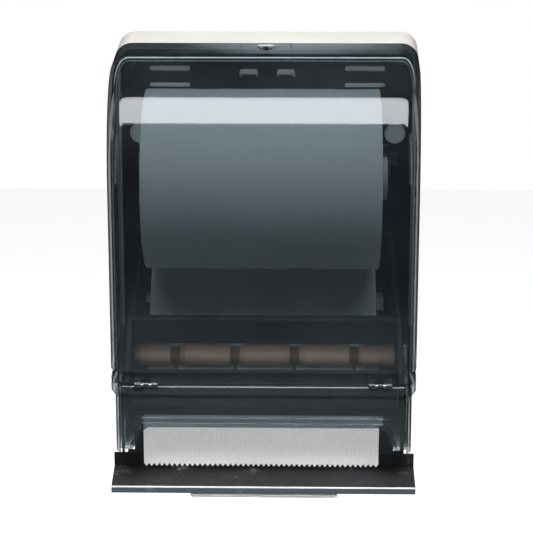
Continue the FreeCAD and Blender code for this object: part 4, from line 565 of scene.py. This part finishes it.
def build_towel(looks):
    """The towel between the roll and its torn edge, with the cutter's teeth along the end."""
    route = PaperPath()
    low, high = route.low, route.high
    teeth = round((high.x - low.x) / looks.tooth_pitch)
    columns = 2 * teeth
    path = route.points(bend=0.006, end=low.z + looks.tooth_depth, step=0.003)
    tooth = looks.tooth_depth - 0.0001
    waves, ripple_size, sway_size = 6, 0.00022, 0.0002
    free_length, stiffening = 0.045, 0.04
    rng = random.Random(7)
    wave = [rng.uniform(-1.0, 1.0) for _ in range(waves)]
    bm = bmesh.new()
    rows, places = [], {}
    travelled = 0.0
    for index, (y, z) in enumerate(path):
        if index:
            travelled += math.dist(path[index - 1], (y, z))
        row = []
        hang = min(1.0, max(0.0, (path[-1][1] + free_length - z) / stiffening))
        for column in range(columns + 1):
            share = column / columns
            x = low.x + (high.x - low.x) * share
            ripple = sum(wave[k] * math.sin((k + 1) * 2.4 * share + k + 14.0 * travelled) for k in range(waves))
            sway = math.sin(9.0 * share + 60.0 * travelled)
            out = hang * (ripple_size * ripple + sway_size * sway)
            place_z = z
            if index == len(path) - 1 and column % 2:
                place_z = z - tooth
            vertex = bm.verts.new((x, y + out, place_z))
            places[vertex] = (x, travelled + (z - place_z))
            row.append(vertex)
        rows.append(row)
    grid_faces(bm, rows)
    lay_uv(bm, places)
    towel = mesh_piece("towel", bm, "paper", "dispenser")
    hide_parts("towel_sheet")


def build_roll(looks):
    """The wound roll: a softly uneven outside, and ends where the edges of the layers stand in and out."""
    low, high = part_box("towel_roll")
    core_low, core_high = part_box("roll_core")
    centre_y, centre_z = axis_place("roll_spin")
    radius = (high.z - low.z) / 2
    bore = (core_high.z - core_low.z) / 2
    segments, spans = 144, 44
    edge, deepest = 0.0004, 0.0007
    dent, dent_change = 0.00025, 0.0002
    rng = random.Random(11)
    bm = bmesh.new()
    rows, places = [], {}

    def ring(x, ring_radius, along, ripple=0.0, phase=0.0):
        """A ring of vertices; along is its place on the flat paper, ripple the depth of its dents."""
        row = []
        for index in range(segments):
            angle = 2 * math.pi * index / segments
            at = ring_radius - ripple * (0.5 + 0.5 * math.sin(3 * angle + phase + 0.7 * math.sin(2 * angle)))
            vertex = bm.verts.new((x, centre_y + at * math.cos(angle), centre_z + at * math.sin(angle)))
            places[vertex] = (along, angle * ring_radius)
            row.append(vertex)
        return row

    layers = int((radius - bore) / looks.layer_step)

    def end_rings(x, inward):
        """The rings of one end, from the bore outwards; inward is the way into the roll."""
        made = []
        for layer in range(layers + 1):
            at = bore + (radius - edge - bore) * layer / layers
            dip = rng.uniform(0.0, deepest) if 0 < layer < layers else 0.0
            made.append(ring(x + inward * dip, at, x + inward * (radius - at)))
        return made

    rows += end_rings(low.x, 1.0)
    for span in range(spans + 1):
        x = low.x + edge + (high.x - low.x - 2 * edge) * span / spans
        rows.append(ring(x, radius, x, dent + dent_change * math.sin(span * 0.7), 0.25 * span))
    rows += reversed(end_rings(high.x, -1.0))
    rows.append(rows[0])
    grid_faces(bm, rows, closed=True)
    lay_uv(bm, places)
    bmesh.ops.recalc_face_normals(bm, faces=bm.faces)
    roll = mesh_piece("towel_roll_layers", bm, "roll_paper", "roll")
    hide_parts("towel_roll")


# Forms that the solids leave out

def prism(name, outline, start, length, lay, material, body):
    """Closed prism of an outline; lay(u, v, w) places a point of the outline at w along the prism."""
    bm = bmesh.new()
    rings = [[bm.verts.new(lay(u, v, w)) for u, v in outline] for w in (start, start + length)]
    grid_faces(bm, rings, closed=True)
    for ring in rings:
        bm.faces.new(ring)
    bmesh.ops.recalc_face_normals(bm, faces=bm.faces)
    return mesh_piece(name, bm, material, body, smooth=False)


def facing_front(u, v, w):
    """Outline in X and Z, with the prism's length along Y."""
    return (u, w, v)


def seen_from_side(u, v, w):
    """Outline in Y and Z, with the prism's length along X."""
    return (w, u, v)


def rounded_outline(x, z, length, width, steps=10):
    """Slot outline with round ends; with equal length and width it is a disc."""
    reach, radius = (length - width) / 2, width / 2
    outline = []
    for side, start in ((1, -90.0), (-1, 90.0)):
        for step in range(steps + 1):
            angle = math.radians(start + 180.0 * step / steps)
            outline.append((x + side * reach + radius * math.cos(angle), z + radius * math.sin(angle)))
    return outline


def build_bosses():
    """Bosses of the casing that stand behind the holes of the inner frame, the same on both sides; they are
    painted paler than the casing, in white plastic, to stand in for light that reaches them.
    """
    casing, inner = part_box("rear_casing"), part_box("chassis_frame")
    back, front = casing[1].y - 0.0025, inner[0].y + 0.0026
    # Distance from the middle, distance below the frame's top, length and width
    holes = (
        (0.0905, 0.0206, 0.0406, 0.0084),
        (0.0905, 0.0355, 0.0406, 0.0070),
        (0.0173, 0.0236, 0.0202, 0.0104),
        (0.1189, 0.0804, 0.0222, 0.0222),
    )
    number = 0
    for side in (-1.0, 1.0):
        for off, down, length, width in holes:
            number += 1
            outline = rounded_outline(side * off, inner[1].z - down, length, width)
            # Painted light: the bosses take the paler white plastic, not the casing's cream, so that they read
            # brighter in the shade behind the frame.
            prism(f"casing_boss_{number}", outline, front, back - front, facing_front,
                  "white_plastic", "dispenser")


def build_upstand():
    """The push bar's rear wall, carried up inside the throat between the cheeks."""
    low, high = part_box("push_bar")
    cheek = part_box("cheek_right")[0].x
    half, wide = cheek - 0.003, cheek + 0.003
    wall, corner = 0.0028, 0.004
    foot, shoulder, top = high.z - 0.0005, high.z + 0.0026, low.z + 0.050
    right = [(wide, foot), (wide, shoulder), (half, shoulder), (half, top - corner), (half - corner, top)]
    outline = right + [(-x, z) for x, z in reversed(right)]
    prism("bar_upstand", outline, high.y - wall, wall, facing_front, "black_plastic", "bar")


def build_outlet_lip():
    """The strip bar's front edge, turned down before the paper."""
    drive, press = axis_place("drive_roller_spin"), axis_place("press_roller_spin")
    angle = math.atan2(press[1] - drive[1], press[0] - drive[0])
    way, off_way = (math.sin(angle), -math.cos(angle)), (-math.cos(angle), -math.sin(angle))
    radius = 0.01055
    start = (drive[0] + radius * math.cos(angle), drive[1] + radius * math.sin(angle))

    def place(along, off):
        """Y and Z at a distance along the paper's way out, and off it."""
        return (start[0] + along * way[0] + off * off_way[0], start[1] + along * way[1] + off * off_way[1])

    near, far = 0.0028, 0.0050
    root, bend, nose = 0.0475, 0.0560, 0.0570
    wall, drop = 0.0018, 0.0082
    tip_y, tip_z = place(nose, far)
    outline = [place(root, near), place(bend, near), (tip_y + wall, tip_z - drop), (tip_y, tip_z - drop),
               (tip_y, tip_z), place(root, far)]
    low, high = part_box("strip_bar")
    prism("outlet_lip", outline, low.x, high.x - low.x, seen_from_side,
          "black_plastic", "dispenser")


def build_blade(looks):
    """The cutter's toothed strip behind the outlet's upper lip."""
    low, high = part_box("cutter_blade")
    beyond_roll, height = 0.0018, 0.0096
    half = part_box("towel_roll")[1].x + beyond_roll
    teeth = round(2 * half / looks.tooth_pitch)
    start = -looks.tooth_pitch * teeth / 2
    top, root = low.z + height, low.z + looks.tooth_depth
    outline = [(start, top), (start, root)]
    for tooth in range(teeth):
        outline.append((start + looks.tooth_pitch * (tooth + 0.5), low.z))
        outline.append((start + looks.tooth_pitch * (tooth + 1), root))
    outline.append((-start, top))
    blade = prism("blade_strip", outline, low.y, high.y - low.y, facing_front,
                  "satin_blade", "dispenser")
    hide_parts("cutter_blade")


# Screws, by Geometry Nodes

def screw_tree():
    """A domed head with a cross recess on each point, turned at random and facing the point's own way."""
    tree = bpy.data.node_groups.new("cross_head_screws", "GeometryNodeTree")
    sockets = {}
    face = tree.interface
    face.new_socket("Geometry", in_out="OUTPUT", socket_type="NodeSocketGeometry")
    for label, kind, default in (
        ("Geometry", "NodeSocketGeometry", None),
        ("Head Radius", FLOAT, 0.0026),
        ("Head Height", FLOAT, 0.0015),
        ("Recess Width", FLOAT, 0.0006),
        ("Seed", "NodeSocketInt", 3),
        ("Finish", "NodeSocketMaterial", None),
    ):
        socket = face.new_socket(label, in_out="INPUT", socket_type=kind)
        if default is not None:
            socket.default_value = default
        sockets[label] = socket.identifier
    given = tree.nodes.new("NodeGroupInput").outputs
    leave = tree.nodes.new("NodeGroupOutput")
    radius, height, recess = given["Head Radius"], given["Head Height"], given["Recess Width"]

    def shape(kind, **inputs):
        """The geometry that a node makes."""
        return add_node(tree, "GeometryNode" + kind, inputs).outputs[0]

    def cut_away(solid, tools):
        """The solid less the tools."""
        node = add_node(tree, "GeometryNodeMeshBoolean", {0: solid}, operation="DIFFERENCE")
        for tool in tools:
            tree.links.new(tool, node.inputs["Mesh 2"])
        return node.outputs[0]

    ball = shape("MeshUVSphere", Segments=20, Rings=10, Radius=1.0)
    lower = shape("Transform", Geometry=shape("MeshCube", Size=(3.0, 3.0, 2.0)), Translation=(0.0, 0.0, -1.0))
    dome = cut_away(ball, [lower])
    head = shape("Transform", Geometry=dome, Scale=combine(tree, radius, radius, height))
    length = times(tree, radius, 1.15)
    lift = combine(tree, 0.0, 0.0, height)
    bars = [shape("Transform", Geometry=shape("MeshCube", Size=size), Translation=lift)
            for size in (combine(tree, length, recess, height), combine(tree, recess, length, height))]
    screw = cut_away(head, bars)
    named = add_node(tree, "GeometryNodeInputNamedAttribute", {"Name": "facing"}, data_type="FLOAT_VECTOR")
    aim = add_node(tree, "FunctionNodeAlignRotationToVector", {"Vector": named.outputs[0]}, axis="Z").outputs[0]
    turns = {"Min": (0.0, 0.0, 0.0), "Max": (0.0, 0.0, 3.1), "Seed": given["Seed"]}
    spin = add_node(tree, "FunctionNodeRandomValue", turns, data_type="FLOAT_VECTOR").outputs[0]
    spin = add_node(tree, "FunctionNodeEulerToRotation", {0: spin}).outputs[0]
    turn = add_node(tree, "FunctionNodeRotateRotation", {0: aim, 1: spin}, rotation_space="LOCAL").outputs[0]
    put = shape("InstanceOnPoints", Points=given["Geometry"], Instance=screw, Rotation=turn)
    real = shape("RealizeInstances", Geometry=put)
    tree.links.new(shape("SetMaterial", Geometry=real, Material=given["Finish"]), leave.inputs[0])
    return tree, sockets


def solid_boxes(node):
    """Lowest and highest corners of each separate solid of a CAD node of small, well spaced solids."""
    reach = 0.008
    groups = []
    for vertex in frame["nodes"][node].data.vertices:
        place = vertex.co
        for group in groups:
            if (group[0] - place).length < reach:
                group.append(place.copy())
                break
        else:
            groups.append([place.copy()])
    return [(Vector(min(place[k] for place in group) for k in range(3)),
             Vector(max(place[k] for place in group) for k in range(3))) for group in groups]


def build_screws(tree, sockets, node, body, facing_of):
    """Replaces a node of plain heads with cross-head screws; facing_of gives each head's outward way."""
    boxes = solid_boxes(node)
    centres, ways = [], []
    for low, high in boxes:
        way = facing_of(low, high)
        middle = (low + high) / 2
        middle.y = high.y if way.y < 0 else low.y
        centres.append(middle)
        ways.append(way)
    mesh = bpy.data.meshes.new(node + "_points")
    mesh.from_pydata([tuple(centre) for centre in centres], [], [])
    facing = mesh.attributes.new("facing", "FLOAT_VECTOR", "POINT")
    for index, way in enumerate(ways):
        facing.data[index].vector = way
    holder = new_object(node + "_points", mesh)
    low, high = boxes[0]
    modifier = holder.modifiers.new("screws", "NODES")
    modifier.node_group = tree
    modifier[sockets["Head Radius"]] = (high.x - low.x) / 2
    modifier[sockets["Head Height"]] = high.y - low.y
    modifier[sockets["Finish"]] = MATERIALS["zinc_steel"]
    bpy.context.view_layer.update()
    made = bpy.data.meshes.new_from_object(holder.evaluated_get(bpy.context.evaluated_depsgraph_get()))
    bpy.data.objects.remove(holder)
    piece = new_object(node + "_heads", made)
    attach(piece, body)
    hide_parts(node)


# Stage

def build_world(stage):
    """White for what sees it directly, a dim studio for what mirrors it, and soft fill for the rest.

    The mirrored studio has a bright backdrop and a strip high up behind the object, and a pale floor low in
    front. Each part fades in between two values of a ray's way along Y or Z.
    """
    world = bpy.data.worlds.new("studio")
    bpy.context.scene.world = world
    world.use_nodes = True
    tree = world.node_tree
    tree.nodes.clear()
    way = split(tree, add_node(tree, "ShaderNodeTexCoord").outputs["Generated"])
    along, rise = way[1], way[2]
    backdrop = times(tree, fade(tree, along, 0.978, 0.9885), fade(tree, rise, 0.06, 0.12))
    strip = times(tree, fade(tree, rise, 0.43, 0.45), fade(tree, rise, 0.51, 0.49))
    strip = times(tree, strip, fade(tree, along, 0.5, 0.6))
    low_front = times(tree, fade(tree, rise, -0.24, -0.30), fade(tree, along, -0.2, -0.5))
    dim, backdrop_level, strip_level = 0.004, 2.4, 2.8
    studio = fade(tree, backdrop, 0.0, 1.0, dim, backdrop_level)
    studio = larger(tree, studio, times(tree, low_front, stage.low_front))
    studio = larger(tree, studio, times(tree, strip, strip_level))
    ray = add_node(tree, "ShaderNodeLightPath").outputs
    seen = larger(tree, ray["Is Camera Ray"], ray["Is Transmission Ray"])
    level = larger(tree, seen, times(tree, ray["Is Glossy Ray"], studio))
    plain = math_node(tree, "SUBTRACT", 1.0, larger(tree, seen, ray["Is Glossy Ray"]))
    strength = math_node(tree, "MULTIPLY_ADD", plain, stage.fill, level)
    bluish, white = (0.78, 0.93, 1.0, 1.0), (1.0, 1.0, 1.0, 1.0)
    colour = mix_colour(tree, seen, bluish, white)
    shader = add_node(tree, "ShaderNodeBackground", {"Color": colour, "Strength": strength}).outputs[0]
    tree.links.new(shader, tree.nodes.new("ShaderNodeOutputWorld").inputs[0])


def build_floor(stage):
    """A pale floor that looks nearly as white as the backdrop, and keeps the shadow."""
    material, tree = new_material("floor_paint")
    ray = add_node(tree, "ShaderNodeLightPath").outputs
    patch = noise(tree, object_place(tree), 6.0, 3.0)
    colour = mix_colour(tree, fade(tree, patch, 0.3, 0.7), (0.86, 0.86, 0.86, 1.0), (0.9, 0.9, 0.9, 1.0))
    seen = larger(tree, ray["Is Camera Ray"], ray["Is Glossy Ray"])
    seen = larger(tree, seen, ray["Is Transmission Ray"])
    matt = add_node(tree, "ShaderNodeBsdfDiffuse", {"Color": colour}).outputs[0]
    glow = add_node(tree, "ShaderNodeEmission", {"Strength": times(tree, seen, 0.85)}).outputs[0]
    show_shader(material, add_node(tree, "ShaderNodeAddShader", {0: matt, 1: glow}).outputs[0])
    bm = bmesh.new()
    half = 4.0
    around = ((-half, -half), (half, -half), (half, half), (-half, half))
    bm.faces.new([bm.verts.new((x, y, -stage.floor_drop)) for x, y in around])
    floor = mesh_object("floor", bm, material, smooth=False)
    floor.visible_glossy = False


def add_lamp(name, place, aim, size, power, seen_by="both", spread=180.0):
    """A rectangular lamp that the camera doesn't see; seen_by names the rays it lights, spread is in degrees."""
    lamp = bpy.data.lights.new(name, "AREA")
    lamp.shape = "RECTANGLE"
    lamp.size, lamp.size_y = size
    lamp.energy = power
    lamp.spread = math.radians(spread)
    lit = new_object(name, lamp)
    lit.location = place
    lit.rotation_euler = (Vector(aim) - Vector(place)).to_track_quat("-Z", "Y").to_euler()
    lit.visible_diffuse = seen_by in ("both", "diffuse")
    lit.visible_glossy = seen_by in ("both", "glossy")
    lit.visible_camera = False


def build_lamps(stage):
    """The key and side lamps, what the cover mirrors, and small lamps for the outlet, plate and rollers."""
    middle = (0.0, -0.12, 0.0)
    add_lamp("key_lamp", (0.0, -0.88, 1.27), middle, (1.6, 0.7), stage.key, "diffuse")
    add_lamp("band_lamp", (0.0, -0.62, 1.15), (0.0, -0.2, 0.11), (1.7, 0.60), stage.band, "glossy")
    add_lamp("low_lamp", (0.0, -1.2, -0.55), (0.0, -0.2, -0.235), (0.5, 0.03), 0.05, "diffuse", spread=8.0)
    add_lamp("outlet_lamp", (0.0, -0.9, -0.05), (0.0, -0.2, -0.185), (0.3, 0.03), 0.018, "diffuse", spread=12.0)
    add_lamp("plate_lamp", (0.0, -0.070, 0.103), (0.0, 0.0, 0.103), (0.25, 0.02), 0.055, "diffuse")
    add_lamp("roller_lamp", (0.0, -0.21, -0.085), (0.0, -0.16, -0.125), (0.23, 0.01), 0.018, "diffuse")
    for name, side in (("left_lamp", -1.0), ("right_lamp", 1.0)):
        add_lamp(name, (1.3 * side, -0.9, 0.35), middle, (0.25, 1.0), 1.5)
        add_lamp(name + "_edge", (1.5 * side, 0.3, 0.1), middle, (0.5, 1.8), 6.0, "glossy")


def build_camera(stage):
    """The camera in front, a little above and to the right, looking down and slightly left."""
    camera = bpy.data.cameras.new("camera")
    camera.lens = stage.focal
    camera.sensor_width = 36.0
    camera.clip_start, camera.clip_end = 0.05, 50.0
    holder = new_object("camera", camera)
    holder.location = (stage.camera_x, -stage.camera_y, stage.camera_z)
    holder.rotation_euler = (math.pi / 2 - stage.pitch, 0.0, stage.yaw)
    bpy.context.scene.camera = holder


# Settings

class DispenserLooks(bpy.types.PropertyGroup):
    """Colours of the dispenser, and sizes of its teeth and of the roll's layers."""

    cream: FloatVectorProperty(name="Casing", description="Colour of the rear casing", subtype="COLOR",
                               size=3, min=0.0, max=1.0, default=(0.56, 0.54, 0.50))
    smoke: FloatVectorProperty(name="Smoke", description="Share of light that a face of the cover lets through",
                               subtype="COLOR", size=3, min=0.0, max=1.0, default=(0.585, 0.62, 0.64))
    haze: FloatProperty(name="Haze", description="Share of light that the cover's surface scatters",
                        min=0.0, max=0.5, default=0.02, subtype="FACTOR")
    sleeve: FloatVectorProperty(name="Sleeves", description="Colour of the drive roller's sleeves",
                                subtype="COLOR", size=3, min=0.0, max=1.0, default=(0.76, 0.50, 0.36))
    paper: FloatVectorProperty(name="Paper", description="Colour of the towel", subtype="COLOR",
                               size=3, min=0.0, max=1.0, default=(0.86, 0.85, 0.83))
    tooth_pitch: FloatProperty(name="Tooth pitch", description="Distance between the blade's and paper's teeth",
                               default=0.0044, unit="LENGTH")
    tooth_depth: FloatProperty(name="Tooth depth", description="Depth of the blade's and the paper's teeth",
                               default=0.003, unit="LENGTH")
    layer_step: FloatProperty(name="Layer step", description="Distance between layers drawn at the roll's ends",
                              default=0.0012, unit="LENGTH")


class DispenserStage(bpy.types.PropertyGroup):
    """Lamps, backdrop and camera."""

    key: FloatProperty(name="Key lamp", description="Power of the lamp above the front",
                       default=50.0, unit="POWER")
    fill: FloatProperty(name="Fill", description="Strength of the light from all round", default=0.05, min=0.0)
    low_front: FloatProperty(name="Low front", description="Brightness of the floor that the cover mirrors",
                             default=0.38, min=0.0)
    band: FloatProperty(name="Band lamp", description="Power of the long lamp that the cover mirrors",
                        default=30.0, unit="POWER")
    floor_drop: FloatProperty(name="Floor", description="How far the floor lies below the wall slots",
                              default=0.75, unit="LENGTH")
    focal: FloatProperty(name="Focal length", description="The camera's focal length in millimetres",
                         default=112.6)
    camera_x: FloatProperty(name="Camera X", description="Camera's place to the right of the middle",
                            default=0.027, unit="LENGTH")
    camera_y: FloatProperty(name="Camera distance", description="Camera's distance from the wall",
                            default=1.572, unit="LENGTH")
    camera_z: FloatProperty(name="Camera height", description="Camera's height above the wall slots",
                            default=0.3044, unit="LENGTH")
    pitch: FloatProperty(name="Look down", description="How far the camera looks down", subtype="ANGLE",
                         default=math.radians(13.4))
    yaw: FloatProperty(name="Look left", description="How far the camera looks to the left", subtype="ANGLE",
                       default=math.radians(1.03))


# Operators

class DISPENSER_OT_finishes(bpy.types.Operator):
    """Give every CAD part its own finish"""

    bl_idname = "dispenser.finishes"
    bl_label = "Finish the parts"

    def execute(self, context):
        build_groups()
        build_materials(context.scene.dispenser_looks)
        for part in frame["record"]["subparts"]:
            name = part["node"]
            slot = "bar_plastic" if name == "push_bar" else part["material_slot"]
            mesh = frame["nodes"][name].data
            mesh.materials.clear()
            mesh.materials.append(MATERIALS[slot])
        return {"FINISHED"}


class DISPENSER_OT_roll(bpy.types.Operator):
    """Make the wound paper roll"""

    bl_idname = "dispenser.roll"
    bl_label = "Wind the roll"

    def execute(self, context):
        build_roll(context.scene.dispenser_looks)
        return {"FINISHED"}


class DISPENSER_OT_towel(bpy.types.Operator):
    """Make the towel from the roll to its torn edge"""

    bl_idname = "dispenser.towel"
    bl_label = "Hang the towel"

    def execute(self, context):
        build_towel(context.scene.dispenser_looks)
        return {"FINISHED"}


class DISPENSER_OT_inner_forms(bpy.types.Operator):
    """Add the bosses, the bar's upstand, the outlet's lip and the blade"""

    bl_idname = "dispenser.inner_forms"
    bl_label = "Add the inner forms"

    def execute(self, context):
        build_bosses()
        build_upstand()
        build_outlet_lip()
        build_blade(context.scene.dispenser_looks)
        return {"FINISHED"}


class DISPENSER_OT_screws(bpy.types.Operator):
    """Make the cross-head screws"""

    bl_idname = "dispenser.screws"
    bl_label = "Fit the screws"

    def execute(self, context):
        tree, sockets = screw_tree()
        to_front, to_wall = Vector((0.0, -1.0, 0.0)), Vector((0.0, 1.0, 0.0))
        plate_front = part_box("chassis_frame")[0].y + 0.0005

        def frame_way(low, high):
            """Heads on the plate's front look to the front, the others to the wall."""
            return to_front if high.y < plate_front else to_wall

        build_screws(tree, sockets, "frame_screws", "dispenser", frame_way)
        build_screws(tree, sockets, "bar_screws", "bar", lambda low, high: to_wall)
        return {"FINISHED"}


class DISPENSER_OT_stage(bpy.types.Operator):
    """Set up the floor, backdrop, lamps and camera"""

    bl_idname = "dispenser.stage"
    bl_label = "Set the stage"

    def execute(self, context):
        stage = context.scene.dispenser_stage
        context.scene.view_settings.view_transform = "Standard"
        build_world(stage)
        build_floor(stage)
        build_lamps(stage)
        build_camera(stage)
        return {"FINISHED"}


class DISPENSER_PT_panel(bpy.types.Panel):
    """The dispenser's steps in the sidebar"""

    bl_idname = "DISPENSER_PT_panel"
    bl_label = "Towel dispenser"
    bl_space_type = "VIEW_3D"
    bl_region_type = "UI"
    bl_category = "Dispenser"

    def draw(self, context):
        layout = self.layout
        for settings in (context.scene.dispenser_looks, context.scene.dispenser_stage):
            box = layout.box()
            for key in settings.__annotations__:
                box.prop(settings, key)
        for step in STEPS:
            layout.operator(step.bl_idname)


STEPS = (
    DISPENSER_OT_finishes,
    DISPENSER_OT_roll,
    DISPENSER_OT_towel,
    DISPENSER_OT_inner_forms,
    DISPENSER_OT_screws,
    DISPENSER_OT_stage,
)
CLASSES = (DispenserLooks, DispenserStage, *STEPS, DISPENSER_PT_panel)


def register():
    """Adds the settings, operators and panel."""
    for cls in CLASSES:
        bpy.utils.register_class(cls)
    bpy.types.Scene.dispenser_looks = PointerProperty(type=DispenserLooks)
    bpy.types.Scene.dispenser_stage = PointerProperty(type=DispenserStage)


def unregister():
    """Takes them out again."""
    del bpy.types.Scene.dispenser_stage
    del bpy.types.Scene.dispenser_looks
    for cls in reversed(CLASSES):
        bpy.utils.unregister_class(cls)


def main():
    """Makes everything."""
    register()
    for step in STEPS:
        group, name = step.bl_idname.split(".")
        getattr(getattr(bpy.ops, group), name)()


if __name__ == "__main__":
    main()
